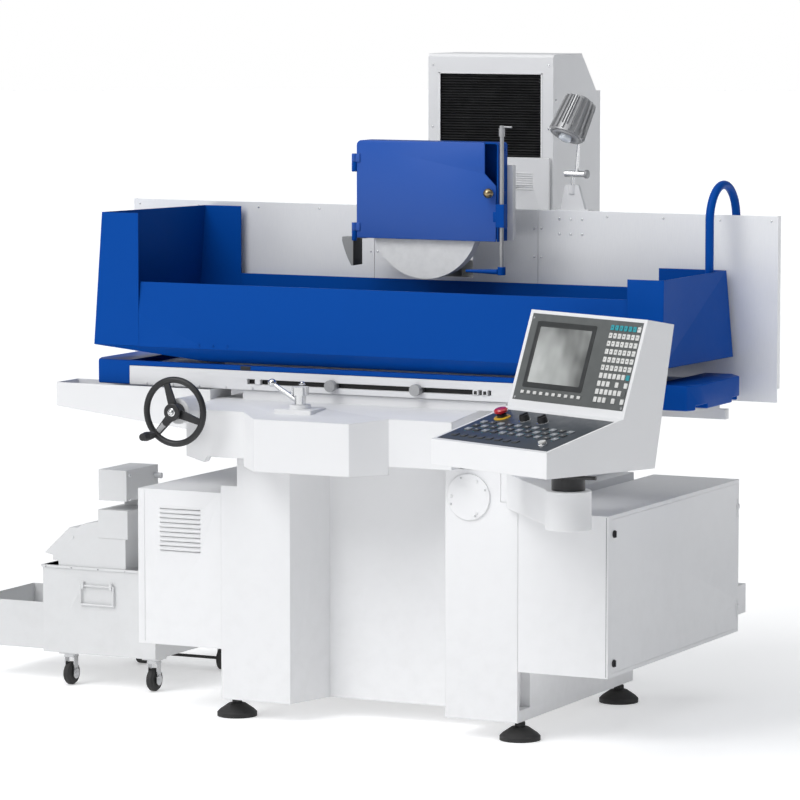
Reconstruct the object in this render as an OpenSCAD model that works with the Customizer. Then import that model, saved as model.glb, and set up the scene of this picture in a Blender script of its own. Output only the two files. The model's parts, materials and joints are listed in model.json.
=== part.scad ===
// Saddle-type surface grinder on levelling pads, with its coolant unit standing at the left.
// X runs along the table, Y away from the operator, Z up.
// Inside the modules X = 0 and Y = 0 lie on the grinding wheel's centre; placed() moves
// everything so that the origin is under the middle of the whole machine, on the floor.

/* [Grinding wheel and head] */
// Grinding wheel diameter
wheel_d = 355; // [300:5:360]
// Grinding wheel width
wheel_w = 40; // [25:1:50]
// Grinding wheel bore
wheel_bore = 127; // [76:1:127]
// Rest height of the wheel above the chuck
wheel_lift = 105.5; // [104:0.5:140]
// Outer diameter of the spindle cartridge
cartridge_d = 150; // [130:1:160]
// Spindle shaft diameter in its bearings
spindle_d = 70; // [50:1:80]
// Width of the wheel guard
guard_w = 466; // [440:1:500]
// Height of the wheel guard
guard_h = 293; // [280:1:330]
// Height of the wheel guard's lower edge below the spindle
guard_drop = 59; // [50:1:70]

/* [Base and cabinets] */
// Width of the base casting
base_w = 972; // [900:2:1100]
// Front face of the base, in front of the wheel centre
base_front = 407; // [380:1:440]
// Rear end of the base casting behind the wheel centre
base_rear = 830; // [815:1:1000]
// Top face of the base casting above the floor
base_top = 790; // [760:1:900]
// Free height under the base
base_lift = 58; // [50:1:80]
// Wall thickness of the large castings
cast_wall = 35; // [25:1:45]
// Width of each side cabinet
cabinet_w = 283; // [250:1:340]
// Bottom and top of the side cabinets above the floor
cabinet_z = [208, 677];
// Levelling pad diameter
pad_d = 120; // [90:1:140]

/* [Table and tray] */
// Length of the table
table_l = 1710; // [1500:10:2000]
// Depth of the table
table_d = 400; // [360:5:420]
// Thickness of the table
table_t = 57; // [50:1:70]
// Front edge of the table, in front of the wheel centre
table_front = 300; // [290:1:320]
// Length of the magnetic chuck
chuck_l = 1400; // [1000:10:1500]
// Depth of the magnetic chuck
chuck_d = 320; // [250:5:340]
// Height of the chuck face above the table
chuck_h = 166; // [150:1:180]
// Height of the splash tray's edge above the table
tray_h = 257; // [230:1:262]
// Thickness of the tray's sheet
tray_t = 3; // [2:0.5:4]
// Half width of the tray at its top edge

/* [Column] */
// Width of the column cover
column_w = 424; // [400:2:500]
// Top of the column cover above the floor
column_z = 1966; // [1930:1:2100]
// Front face of the column cover behind the wheel centre
column_front = 444; // [440:1:460]
// Depth of the column cover
column_depth = 364; // [350:1:380]

/* [Splash plate] */
// Left and right ends of the splash plate
plate_x = [-1091, 1063];
// Bottom and top of the splash plate above the floor
plate_z = [965, 1511];
// Front face of the splash plate behind the wheel centre
plate_y = 150; // [146:1:156]

/* [Control console] */
// Width of the console
console_w = 480; // [450:1:520]
// Swivel of the console towards the operator
console_turn = 23.6; // [0:0.1:40]
// Bottom of the console above the floor
console_z = 852; // [830:1:900]
// Axis of the console's post
post = [787, -730];

/* [Handwheel] */
// Handwheel diameter
handwheel_d = 208; // [160:2:220]
// Handwheel rim thickness
rim_d = 19; // [16:1:26]

/* [Coolant unit] */
// Length of the coolant tank
tank_l = 400; // [350:5:450]
// Left end of the swarf tray
swarf_left = -1560; // [-1700:5:-1500]
// Depth of the coolant tank
tank_depth = 560; // [450:5:600]
// Castor wheel diameter
castor_d = 72; // [60:1:80]

/* [Hidden] */
$fn = 64;

white = [0.93, 0.94, 0.95];
pale = [0.86, 0.87, 0.88];
blue = [0.03, 0.17, 0.52];
black = [0.05, 0.05, 0.06];
steel = [0.62, 0.64, 0.66];
grey = [0.35, 0.36, 0.36];

gap = 0.3;         // between faces of bodies that slide past each other
run = 0.05;        // radial running clearance of shafts and pins
sheet = 3;         // sheet-metal thickness of covers and cabinets

// Heights, from the floor up
base_half = base_w / 2;
neck_half = base_half - 55;
saddle_z = base_top + 3;
saddle_front_z = base_top + 142;
saddle_back_z = base_top + 158;
bed_z = base_top + 185;
table_z = bed_z + 2;
table_top = table_z + table_t;
skirt_z = table_top + 20;
chuck_top = table_top + chuck_h;
tray_top = table_top + tray_h;
tray_fold = tray_top - 89;
tray_low = skirt_z + 43;
spindle_z = chuck_top + wheel_lift + wheel_d / 2;

// Depths, from the wheel centre
table_back = table_d - table_front;
tray_front = table_front + 29;
tray_back = table_back + 30;
bed_front = table_front - 10;
saddle_front = 480;
apron_front = 577;
apron_lip = 24;
cross_travel = [-45, 220];
column_back = column_front + column_depth;

// Widths, from the wheel centre
cabinet_edge = base_half + cabinet_w;
saddle_left = -561;
saddle_right = 309;
bed_x = [-473, 395];
rib_y = [-230, 30];
rib_w = 70;
way_x = [-400, 150];
way_w = 80;
way_front = cross_travel[1] - saddle_front + 25;
screw_x = -127;

// Wheel guard and head
guard_left = 15 - guard_w / 2;
guard_right = guard_left + guard_w;
guard_z = spindle_z - guard_drop;
guard_top = guard_z + guard_h;
guard_back = 30;
guard_front = 36;
hinge_x = guard_left - 8;
hinge_y = guard_front + 1;
flange_z = [guard_z + 1, guard_z + 224];
head_half = 165;
head_z = [spindle_z - 153, spindle_z + 168];
window_half = 172;
window_top = column_z - 61;
rail_y = [566, 600];

// Console outline, depth and height from its front bottom edge
console_face = [[0, 0], [0, 72], [285, 145], [376, 415], [476, 397], [405, 0]];
console_right = 167;
console_reach = 233;
key_top = console_face[1];
key_back = console_face[2];
screen_end = console_face[3];
key_tilt = atan2(key_back[1] - key_top[1], key_back[0]);
screen_tilt = atan2(screen_end[1] - key_back[1], screen_end[0] - key_back[0]);
console_wall = 5;
panel_t = 3;

// Levelling studs
stud_d = 20;
foot_x = base_half - 20;
foot_y = [-345, 380];
rear_foot_x = 260;
rear_foot_y = base_rear - pad_d / 2 - 4;
stud_hole = [base_lift - 1, base_lift + 25];

// Console post
collar_z = [console_z - 62, console_z];
clamp_z = console_z - 20;
socket_z = [console_z - 172, console_z - 62];

// Coolant unit
tank_right = -875;
tank_left = tank_right - tank_l;
tank_front = -115;
tank_z = [105, 379];
castor_x = [tank_left + 76, tank_right - 28];
castor_y = tank_front + 42;
rear_castor_y = tank_front + tank_depth - 60;

arm_start = [base_half + 4, -base_front + 22];
arm_way = (post - arm_start) / norm(post - arm_start);
arm_side = [-arm_way[1], arm_way[0]];
arm_half = 48;

// Lamp
lamp_x = 402;
lamp_y = plate_y + 12;
lamp_joint_z = plate_z[1] + 109;

lamp_top = [lamp_x + 28, lamp_y - 16, lamp_joint_z + 108];

// Lever on the saddle
lever_x = -207;
lever_y = -430;
lever_ball = [lever_x - 93, lever_y, 1016];
ball_d = 25;
function saddle_top(y) = saddle_back_z + (y + table_front) / (saddle_front - table_front)
    * (saddle_back_z - saddle_front_z);

// Overall footprint, which sets the origin
console_low = post[1] - (console_right * sin(console_turn) + console_reach * cos(console_turn));
mid_x = (swarf_left + plate_x[1]) / 2;
mid_y = (console_low + base_rear) / 2;

// Outline moved inwards by t; the points run clockwise
function inset(p, t) = [for (i = [0:len(p) - 1])
    let (n = len(p), a = p[(i + n - 1) % n], b = p[i], c = p[(i + 1) % n],
         u = (b - a) / norm(b - a), v = (c - b) / norm(c - b),
         m = [u[1], -u[0]] + [v[1], -v[0]])
    b + m * (2 * t / (m * m))];

module placed() translate([-mid_x, -mid_y, 0]) children();

module box(x, y, z) translate([x[0], y[0], z[0]])
  cube([x[1] - x[0], y[1] - y[0], z[1] - z[0]]);

module rod_x(x, y, z, d) translate([x[0], y, z]) rotate([0, 90, 0])
  cylinder(d = d, h = x[1] - x[0]);

module rod_y(x, y, z, d) translate([x, y[1], z]) rotate([90, 0, 0])
  cylinder(d = d, h = y[1] - y[0]);

module rod_z(x, y, z, d) translate([x, y, z[0]])
  cylinder(d = d, h = z[1] - z[0]);

// Round bar between two points, d1 thick at the first and d2 at the second
module bar(from, to, d1, d2) {
  way = to - from;
  translate(from) rotate([0, acos(way[2] / norm(way)), atan2(way[1], way[0])])
    cylinder(d1 = d1, d2 = d2, h = norm(way));
}

// Outline in Y and Z drawn out along X
module prism_x(x, points) translate([x[0], 0, 0]) rotate([90, 0, 90])
  linear_extrude(x[1] - x[0]) polygon(points);

// Outline in X and Z drawn out along Y
module prism_y(y, points) translate([0, y[1], 0]) rotate([90, 0, 0])
  linear_extrude(y[1] - y[0]) polygon(points);

// Outline in X and Y drawn out along Z
module prism_z(z, points) translate([0, 0, z[0]])
  linear_extrude(z[1] - z[0]) polygon(points);

// Closed sheet-metal box with hollow inside
module cabinet(x, y, z, t) difference() {
  box(x, y, z);
  box([x[0] + t, x[1] - t], [y[0] + t, y[1] - t], [z[0] + t, z[1] - t]);
}

// Low round screw heads along X on a face that looks towards -Y
module heads_y(xs, y, z, d) for (x = xs) rod_y(x, [y - 2, y], z, d);

// ---- Base -------------------------------------------------------------

// Cored box casting: two front piers with a filled-in recess between them, a narrower
// neck on top, and a rear foot that carries the column
module base_casting() color(white) placed() difference() {
  union() {
    prism_z([base_lift, base_top - 90], [
      [-base_half, -base_front], [-254, -base_front], [-209, -236], [240, -236],
      [254, -base_front], [base_half, -base_front], [base_half, 442], [-base_half, 442]]);
    prism_z([base_top - 90, base_top], [
      [-neck_half, -base_front], [-254, -base_front], [-209, -236], [240, -236],
      [254, -base_front], [neck_half, -base_front], [neck_half, 442], [-neck_half, 442]]);
    box([-300, 300], [440, base_rear], [base_lift, base_top - 30]);
    rod_y(-103, [-262, -235], base_top - 20, 26);
    rod_z(-96, -250, [base_top - 47, base_top - 20], 15);
  }
  box([-base_half + cast_wall, base_half - cast_wall], [-236 + cast_wall, 442 - cast_wall],
      [base_lift + cast_wall, base_top - 90 - cast_wall]);
  for (s = [-1, 1]) mirror([s < 0 ? 1 : 0, 0, 0])
    box([254 + cast_wall, base_half - cast_wall], [-base_front + cast_wall, -236 + cast_wall + 1],
        [base_lift + cast_wall, base_top - 90 - cast_wall]);
  box([-300 + cast_wall, 300 - cast_wall], [442 + cast_wall, base_rear - cast_wall],
      [base_lift + cast_wall, base_top - 30 - cast_wall]);
  box([screw_x - 45, screw_x + 45], [-190, 400], [base_top - 75, base_top + 1]);
  box([-375, 113], [-base_front - 1, -saddle_front + cross_travel[1] + 5],
      [saddle_z - apron_lip - 4, base_top + 1]);
  for (x = [-base_half - 1, base_half - 29])
    box([x, x + 30], [-base_front + 14, -320], [93, cabinet_z[0] - gap]);
  for (x = [-foot_x, foot_x], y = foot_y) rod_z(x, y, stud_hole, stud_d + 2 * run);
  for (x = [-rear_foot_x, rear_foot_x]) rod_z(x, rear_foot_y, stud_hole, stud_d + 2 * run);
}

// Threaded stud, lock nut and conical rubber pad
module foot(x, y) {
  translate([x, y, 0]) rotate_extrude()
    polygon([[0, 0], [pad_d / 2, 0], [pad_d / 2, 12], [pad_d / 2 - 8, 20],
             [26, 38], [0, 38]]);
  translate([x, y, 38]) cylinder(d = 34, h = 14, $fn = 6);
  rod_z(x, y, [52, stud_hole[1] - 1], stud_d);
}

module levelling_feet() color(black) placed() {
  for (x = [-foot_x, foot_x], y = foot_y) foot(x, y);
  for (x = [-rear_foot_x, rear_foot_x]) foot(x, rear_foot_y);
}

module inspection_cover() color(white) placed() {
  rod_y(330, [-base_front - 6, -base_front], base_top - 80, 136);
  for (a = [60, 180, 300])
    rod_y(330 + 54 * cos(a), [-base_front - 8, -base_front - 6], base_top - 80 + 54 * sin(a), 8);
}

// Hydraulic cabinet, with a louvred panel in its front
module left_cabinet() color(white) placed() difference() {
  union() {
    difference() {
      cabinet([-cabinet_edge, -base_half], [-base_front + 1, 300], cabinet_z, sheet);
      for (i = [0:9])
        box([-cabinet_edge + 75, -cabinet_edge + 213], [-base_front, -base_front + 1 + sheet + 1],
            [cabinet_z[1] - 184 + 14 * i, cabinet_z[1] - 182 + 14 * i]);
    }
    for (i = [0:9])
      prism_x([-cabinet_edge + 75, -cabinet_edge + 213], [
        [-base_front + 1, cabinet_z[1] - 174 + 14 * i - 5],
        [-base_front - 4, cabinet_z[1] - 182 + 14 * i],
        [-base_front + 1, cabinet_z[1] - 182 + 14 * i]]);
  }
  box([-cabinet_edge + 22, -cabinet_edge + 24], [-base_front, -base_front + 2],
      [cabinet_z[0] + 8, cabinet_z[1] - 2]);
}

// Oil tank with its pump and motor, which stands in the left cabinet
module hydraulic_unit() color(steel) placed() {
  cabinet([-cabinet_edge + 30, -base_half - 30], [-250, 200], [cabinet_z[0] + sheet, 420], 4);
  rod_z(-cabinet_edge + 140, -120, [420, 580], 150);
  box([-cabinet_edge + 70, -cabinet_edge + 200], [20, 120], [420, 500]);
}

// Electrical cabinet, open on its right side where the door closes it
module right_cabinet() color(white) placed() {
  difference() {
    cabinet([base_half, cabinet_edge], [-base_front + 1, 596], cabinet_z, sheet);
    box([cabinet_edge - sheet - 1, cabinet_edge + 1], [-base_front + 22, 590],
        [cabinet_z[0] + 12, cabinet_z[1] - 12]);
  }
  box([base_half + 30, base_half + 34], [-300, 500], [cabinet_z[0] + sheet, cabinet_z[1] - 40]);
  for (y = [-240, -60, 120, 300])
    box([base_half + 34, base_half + 130], [y, y + 120], [cabinet_z[0] + 120, cabinet_z[0] + 330]);
  box([cabinet_edge - 100, cabinet_edge], [596, 658], [259, 348]);
  for (z = hinge_z) difference() {
    union() {
      rod_z(cabinet_edge, door_pin_y, [z, z + 14], 10);
      box([cabinet_edge + gap, cabinet_edge + 3], [door_pin_y, 596], [z, z + 14]);
      box([cabinet_edge - 1, cabinet_edge + 3], [591, 596], [z, z + 14]);
    }
    rod_z(cabinet_edge, door_pin_y, [z - 1, z + 15], 6 + 2 * run);
  }
}

door_z = [cabinet_z[0] + 12 + gap, cabinet_z[1] - 12 - gap];
door_y = [-base_front + 22 + gap, 590 - gap];
door_pin_y = door_y[1] - 8;
latch_y = -366;
latch_z = [cabinet_z[0] + 40, cabinet_z[1] - 55];
hinge_z = [cabinet_z[0] + 70, cabinet_z[1] - 90];

module cabinet_door() color(white) placed() difference() {
  union() {
    box([cabinet_edge - sheet, cabinet_edge], door_y, door_z);
    box([cabinet_edge - 22, cabinet_edge - sheet], [door_y[0] + 40, door_y[0] + 43],
        [door_z[0] + 40, door_z[1] - 40]);
    for (z = hinge_z) rod_z(cabinet_edge, door_pin_y, [z - 24, z + 30], 6);
  }
  for (z = hinge_z) difference() {
    rod_z(cabinet_edge, door_pin_y, [z - gap, z + 14 + gap], 10 + 2 * gap);
    rod_z(cabinet_edge, door_pin_y, [z - 1, z + 15], 6);
  }
  for (z = latch_z) rod_x([cabinet_edge - 10, cabinet_edge + 1], latch_y, z, 16 + 2 * run);
}

module latch(z) color(black) placed() {
  rod_x([cabinet_edge - 8, cabinet_edge + 3], latch_y, z, 16);
  rod_x([cabinet_edge + gap, cabinet_edge + 4], latch_y, z, 22);
  box([cabinet_edge + 4, cabinet_edge + 8], [latch_y - 2, latch_y + 2], [z - 9, z + 9]);
}

// Ways that the saddle slides on, and the rails that the head climbs
module guideways() color(steel) placed() {
  for (x = way_x) box([x - way_w / 2, x + way_w / 2], [way_front, 430],
                         [base_top, saddle_z + 20 - gap]);
  for (x = [-130, 130]) box([x - 22, x + 22], rail_y, [1180, column_z - 140]);
}

// Cored column casting behind the head
module column() color(white) placed() {
  difference() {
    box([-170, 170], [rail_y[1], base_rear - 30], [base_top - 30, column_z - 130]);
    box([-170 + cast_wall, 170 - cast_wall], [rail_y[1] + cast_wall, base_rear - 30 - cast_wall],
        [base_top - 30 + cast_wall, column_z - 130 - cast_wall]);
  }
  box([-60, 60], [rail_y[0] - 10, rail_y[1]], [1166, 1180]);
  box([-60, 60], [rail_y[0] - 26, rail_y[1] + 60], [column_z - 130, column_z - 118]);
  box([-50, 50], [rail_y[0] - 26, rail_y[0] + 74], [column_z - 118, column_z - 20]);
}

// Sheet cover over the column, with a bevelled back and a window for the bellows
module column_cover() color(white) placed() difference() {
  prism_x([-column_w / 2, column_w / 2], [
    [column_front, base_top - 30], [column_front, column_z - 8], [column_front + 8, column_z],
    [column_back - 149, column_z], [column_back - 36, column_z - 118],
    [column_back - 5, column_z - 118], [column_back - 5, base_top - 30]]);
  prism_x([-column_w / 2 + sheet, column_w / 2 - sheet], [
    [column_front + sheet, base_top - 31], [column_front + sheet, column_z - 9],
    [column_front + 10, column_z - sheet], [column_back - 151, column_z - sheet],
    [column_back - 38, column_z - 118 - sheet], [column_back - 5 - sheet, column_z - 118 - sheet],
    [column_back - 5 - sheet, base_top - 31]]);
  box([-window_half, window_half], [column_front - 1, column_front + sheet + 1], [1180, window_top]);
}

// Arm from the side of the base to the socket that carries the console
module console_bracket() color(white) placed() difference() {
  union() {
    prism_z([socket_z[0] + 4, socket_z[1] - 4], [
      arm_start - arm_half * arm_side, post - arm_half * arm_side,
      post + arm_half * arm_side, arm_start + arm_half * arm_side]);
    box([neck_half, base_half], [-base_front, -320], [base_top - 90, base_top - 4]);
    rod_z(post[0], post[1], socket_z, 130);
  }
  rod_z(post[0], post[1], [socket_z[1] - 60, socket_z[1] + 1], 50 + 2 * run);
  box([0, base_half], [-base_front, 0], [base_lift, base_top - 90]);
  box([0, neck_half], [-base_front, 0], [base_lift, base_top]);
}

module console_collar() color(black) placed() difference() {
  union() {
    rod_z(post[0], post[1], [collar_z[0] + gap, collar_z[1]], 94);
    rod_z(post[0], post[1], [collar_z[0] - 58, collar_z[1]], 50);
  }
  rod_y(post[0], [post[1] - 48, post[1] - 28], clamp_z, 12 + 2 * run);
}

// ---- Feed screws --------------------------------------------------------

module cross_screw() color(steel) placed() {
  rod_y(screw_x, [-186, 396], base_top - 38, 32);
}

module elevation_screw() color(steel) placed() {
  rod_z(0, rail_y[0] + 17, [1180 + gap, column_z - 130 - gap], 26);
}

// ---- Saddle -------------------------------------------------------------

// Plan of the saddle and its front bay, drawn inside dx of the outline
module saddle_plan(z, dx) prism_z(z, [
  [saddle_left + dx, -saddle_front + dx], [-369 + dx / 2, -saddle_front + dx],
  [-284 + dx / 2, -apron_front + dx], [27 - dx / 2, -apron_front + dx],
  [107 - dx / 2, -saddle_front + dx], [saddle_right - dx, -saddle_front + dx],
  [saddle_right - dx, 120 - dx], [saddle_left + dx, 120 - dx]]);

// Saddle casting: sloped front deck, front bay, bed under the table, keeper lip at the
// left and plate carrier at the back
module saddle() color(white) placed() difference() {
  union() {
    intersection() {
      saddle_plan([saddle_z, saddle_back_z], 0);
      prism_x([saddle_left, saddle_right], [
        [-apron_front - 1, saddle_z], [-apron_front - 1, saddle_top(-apron_front - 1)],
        [-table_front, saddle_back_z], [120, saddle_back_z], [120, saddle_z]]);
    }
    prism_z([saddle_z - apron_lip, saddle_z], [[-284, -apron_front], [27, -apron_front],
      [107, -saddle_front], [-369, -saddle_front]]);
    box(bed_x, [-bed_front, table_back - 10], [saddle_back_z, bed_z]);
    prism_y([-saddle_front, -saddle_front + 30], [
      [saddle_left, saddle_z + 17], [saddle_left, saddle_z], [-502, saddle_z - 17],
      [-490, saddle_z]]);
    rod_y(saddle_left + 6, [-saddle_front - 62, -saddle_front + 40], 931, 76);
    box([screw_x - 30, screw_x + 30], [-130, -60], [base_top - 66, saddle_z]);
    for (y = rib_y) box(bed_x, [y - rib_w / 2, y + rib_w / 2], [bed_z, table_z + 14 - gap]);
    box([saddle_left, saddle_right], [100, plate_y + 30], [saddle_back_z - 40, saddle_back_z - 10]);
    box([-900, 900], [plate_y + 4, plate_y + 30], [saddle_back_z - 40, saddle_back_z - 10]);
    for (x = [-880, -520, -200, 240, 520, 840])
      box([x, x + 40], [plate_y + 4, plate_y + 8], [saddle_back_z - 10, saddle_back_z + 60]);
    box([-267, -147], [lever_y - 50, lever_y + 50], [saddle_top(lever_y) - 10, saddle_top(lever_y) + 8]);
    rod_z(lever_x, lever_y, [saddle_top(lever_y), saddle_top(lever_y) + 20], 63);
  }
  for (x = way_x)
    box([x - way_w / 2 - gap, x + way_w / 2 + gap], [-saddle_front + 20, 121],
        [saddle_z - 1, saddle_z + 20]);
  box([saddle_left + cast_wall, saddle_right - cast_wall], [-saddle_front + cast_wall, 85],
      [saddle_z + 20 + cast_wall, saddle_z + 60 + cast_wall]);
  rod_y(screw_x, [-131, -59], base_top - 38, 32 + 2 * run);
  rod_y(saddle_left + 6, [-saddle_front - 63, -saddle_front + 30], 931, 20 + 2 * run);
  rod_z(lever_x, lever_y, [saddle_top(lever_y) - 9, saddle_top(lever_y) + 21], 20 + 2 * run);
}

nose_slot = cartridge_d / 2 + 5;

// Three sheets side by side behind the tray, each with a turned edge; the middle one is
// cut out for the spindle cartridge
module splash_plate() color(pale) placed() {
  seams = [plate_x[0], -252, 294, plate_x[1]];
  for (i = [0:2]) difference() {
    union() {
      box([seams[i] + (i > 0 ? 1 : 0), seams[i + 1]], [plate_y, plate_y + 4], plate_z);
      for (x = [seams[i] + (i > 0 ? 1 : 0), seams[i + 1] - 3])
        box([x, x + 3], [plate_y, plate_y + 22], [plate_z[0] + 40, plate_z[1]]);
    }
    box([-nose_slot, nose_slot], [plate_y - 1, plate_y + 23], [spindle_z - 182, plate_z[1] + 1]);
  }
}

// Open sheet trough that leads coolant to the left
module left_trough() color(white) placed() {
  outer = [[-1094, 976], [saddle_left, 976], [saddle_left, 845], [-800, 870], [-1094, 904]];
  inner = [[-1092, 977], [saddle_left - 2, 977], [saddle_left - 2, 848], [-800, 873], [-1092, 907]];
  difference() {
    prism_y([-330, -200], outer);
    prism_y([-328, -202], inner);
  }
}

module speed_lever() color(steel) placed() {
  top = saddle_top(lever_y) + 20 + gap;
  rod_z(lever_x, lever_y, [top - 28, top], 20);
  rod_z(lever_x, lever_y, [top, top + 28], 34);
  rod_z(lever_x, lever_y, [top + 28, top + 52], 52);
  bar([lever_x - 8, lever_y, top + 9], lever_ball, 16, 12);
  translate(lever_ball) rotate_extrude()
    polygon([for (a = [-90:15:90]) ball_d / 2 * [cos(a), sin(a)]]);
}

hand_x = saddle_left + 6;
hand_y = -saddle_front - 80;
hand_z = 931;
crank_angle = 228;
crank_r = handwheel_d / 2 - rim_d / 2;

module handwheel() color(black) placed() translate([hand_x, hand_y, hand_z]) {
  rotate([90, 0, 0]) rotate_extrude() translate([crank_r, 0]) circle(d = rim_d);
  rotate([90, 0, 0]) translate([0, 0, -17]) cylinder(d = 48, h = 38);
  rod_y(0, [17, 107], 0, 20);
  for (a = [108, -18, crank_angle]) rotate([0, -a, 0]) hull() {
    translate([20, -2, 0]) rotate([90, 0, 0]) cylinder(d = 26, h = 8, center = true, $fn = 32);
    translate([crank_r, 0, 0]) rotate([90, 0, 0]) cylinder(d = 17, h = 8, center = true, $fn = 32);
  }
  translate([crank_r * cos(crank_angle), -rim_d / 2 + 4, crank_r * sin(crank_angle)])
    rotate([90, 0, 0]) cylinder(d = 9, h = 68);
}

module crank_grip() color(black) placed()
  translate([hand_x + crank_r * cos(crank_angle), hand_y - rim_d / 2 - 12,
             hand_z + crank_r * sin(crank_angle)])
  rotate([90, 0, 0]) rotate_extrude()
  polygon([[4.5 + run, 0], [10, 0], [12.5, 18], [14, 40], [11, 62], [0, 64], [0, 54],
           [4.5 + run, 54]]);

// ---- Table --------------------------------------------------------------

groove_x = [-452, 350];
groove_z = [table_z + 17.5, table_z + 32.5];
groove_deep = 16;

module table() color(white) placed() {
  difference() {
    box([-table_l / 2, table_l / 2], [-table_front, table_back], [table_z, table_top]);
    for (y = rib_y)
      box([-table_l / 2 - 1, table_l / 2 + 1], [y - rib_w / 2 - gap, y + rib_w / 2 + gap],
          [table_z - 1, table_z + 14]);
    box(groove_x, [-table_front - 1, -table_front + groove_deep], groove_z);
  }
  for (y = [-table_front + 60, table_back - 100]) box([-560, 560], [y, y + 40], [table_top, skirt_z]);
  heads_y([for (i = [0:5]) -table_l / 2 + 60 + 90 * i], -table_front, table_z + 6, 6);
  for (x = [-425, 292, 322]) box([x, x + 18], [-table_front - 3, -table_front + groove_deep], groove_z);
}

module magnetic_chuck() color(steel) placed() {
  chuck_y = -table_front + table_d / 2;
  difference() {
    box([-chuck_l / 2, chuck_l / 2], [chuck_y - chuck_d / 2, chuck_y + chuck_d / 2],
        [chuck_top - 90, chuck_top]);
    for (x = [-chuck_l / 2 + 20:20:chuck_l / 2 - 20])
      box([x - 1, x + 1], [chuck_y - chuck_d / 2 + 12, chuck_y + chuck_d / 2 - 12],
          [chuck_top - 1, chuck_top + 1]);
  }
  for (x = [-520, -60, 400])
    box([x, x + 120], [chuck_y - 100, chuck_y + 100], [skirt_z + tray_t, chuck_top - 90]);
}

// Tray corners: the left hood leans in towards the back, the right one flares at the back
left_front = [-931, -961];
left_back = [-827, -857];
right_front = [904, 900];
right_back = [909, 932];
front_edge = [-806, 790];
back_edge = [-700, 696];
pan_plan = [[left_front[1], -tray_front], [left_back[1], tray_back],
            [right_back[1], tray_back], [right_front[1], -tray_front]];
floor_plan = [[-600, -table_front + 22], [-600, table_back - 4], [600, table_back - 4],
              [600, -table_front + 22]];

// Solid of the pan, from its floor up to the fold
module pan_solid() hull() {
  prism_z([skirt_z, skirt_z + 0.1], floor_plan);
  prism_z([tray_low - 0.1, tray_low], pan_plan);
}

// Blue pan on the table: hipped floor, folded front wall and back wall
module tray_pan() color(blue) placed() {
  difference() {
    pan_solid();
    translate([0, 0, tray_t]) pan_solid();
  }
  prism_x(front_edge, [[-tray_front, tray_low - 1], [-tray_front, tray_fold],
    [-tray_front + 10, tray_top], [-tray_front + 10 + tray_t, tray_top],
    [-tray_front + tray_t, tray_fold], [-tray_front + tray_t, tray_low - 1]]);
  box(back_edge, [tray_back - tray_t, tray_back], [tray_low - 1, tray_top]);
  heads_y([-600, -552, -504], -tray_front, tray_low + 10, 7);
}

// Leaning side sheet between a front edge and a back edge, each given as X at top and bottom
module side_sheet(front, back, low, top, t) polyhedron(
  points = [for (d = [0, t]) each [
    [front[1] + d, -tray_front, low], [back[1] + d, tray_back, low],
    [back[0] + d, tray_back, top], [front[0] + d, -tray_front, top]]],
  faces = [[0, 1, 2], [0, 2, 3], [4, 6, 5], [4, 7, 6], [0, 4, 1], [4, 5, 1],
           [1, 5, 2], [5, 6, 2], [2, 6, 3], [6, 7, 3], [3, 7, 0], [7, 4, 0]]);

// Front and back flanges of a hood, from its side sheet to their inner edges
module hood_flange(y, side, inner, low, top) prism_y([y, y + tray_t],
  [[side[0], top], [side[1], low], [inner, low], [inner, top]]);

module left_hood() color(blue) placed() {
  low = tray_low + gap;
  top = tray_top + 207;
  side_sheet(left_front, left_back, low, top, tray_t);
  hood_flange(-tray_front, left_front, front_edge[0] - gap, low, top);
  hood_flange(tray_back - tray_t, left_back, back_edge[0] - gap, low, top);
}

module right_hood() color(blue) placed() {
  low = tray_low + gap;
  top = tray_top + 59;
  mirror([1, 0, 0]) side_sheet(-right_front, -right_back, low, top, tray_t);
  hood_flange(-tray_front, right_front, front_edge[1] + gap, low, top);
  hood_flange(tray_back - tray_t, right_back, back_edge[1] + gap, low, top);
  box([arch_x - 40, right_back[0] - 2], [arch_y[0] - 35, arch_y[0] + 35], [arch_foot - 3, arch_foot]);
}

// Bevelled blue covers over both ends of the table and the rail along its front edge
module end_covers() color(blue) placed() {
  box([-table_l / 2, table_l / 2], [-table_front, -table_front + 12], [table_top, table_top + 16]);
  for (s = [-1, 1]) mirror([s < 0 ? 1 : 0, 0, 0]) difference() {
    prism_z([table_z, table_top + 16], [
      [table_l / 2, -table_front], [table_l / 2 + 108, -table_front],
      [table_l / 2 + 130, -table_front + 50], [table_l / 2 + 130, table_back - 50],
      [table_l / 2 + 90, table_back], [table_l / 2, table_back]]);
    for (y = rib_y) box([table_l / 2 - 1, table_l / 2 + 131], [y - rib_w / 2 - gap, y + rib_w / 2 + gap],
                        [table_z - 1, table_z + 14]);
  }
}

arch_x = 888;
arch_y = [50, 258];
arch_z = tray_top + 204;
arch_d = 25;
arch_foot = tray_top + 40;

// Rigid conduit from the hood, over the splash plate, to the chuck's junction box
module conduit_arch() color(blue) placed() {
  translate([arch_x, (arch_y[0] + arch_y[1]) / 2, arch_z]) rotate([90, 0, 90])
    rotate_extrude(angle = 180) translate([(arch_y[1] - arch_y[0]) / 2, 0]) circle(d = arch_d);
  rod_z(arch_x, arch_y[0], [arch_foot, arch_z], arch_d);
  rod_z(arch_x, arch_y[0], [arch_foot, arch_foot + 8], 33);
  rod_z(arch_x, arch_y[1], [tray_top + 20, arch_z], arch_d);
  rod_z(arch_x, arch_y[1], [tray_top - 60, tray_top + 20], 40);
}

module trip_dog(x) color(grey) placed() {
  box([x - 16, x + 16], [-table_front - 4, -table_front + groove_deep - 1],
      [groove_z[0] + gap, groove_z[1] - gap]);
  rod_y(x, [-table_front - 22, -table_front - 4], (groove_z[0] + groove_z[1]) / 2, 34);
}

// ---- Wheel head -----------------------------------------------------------

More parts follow.
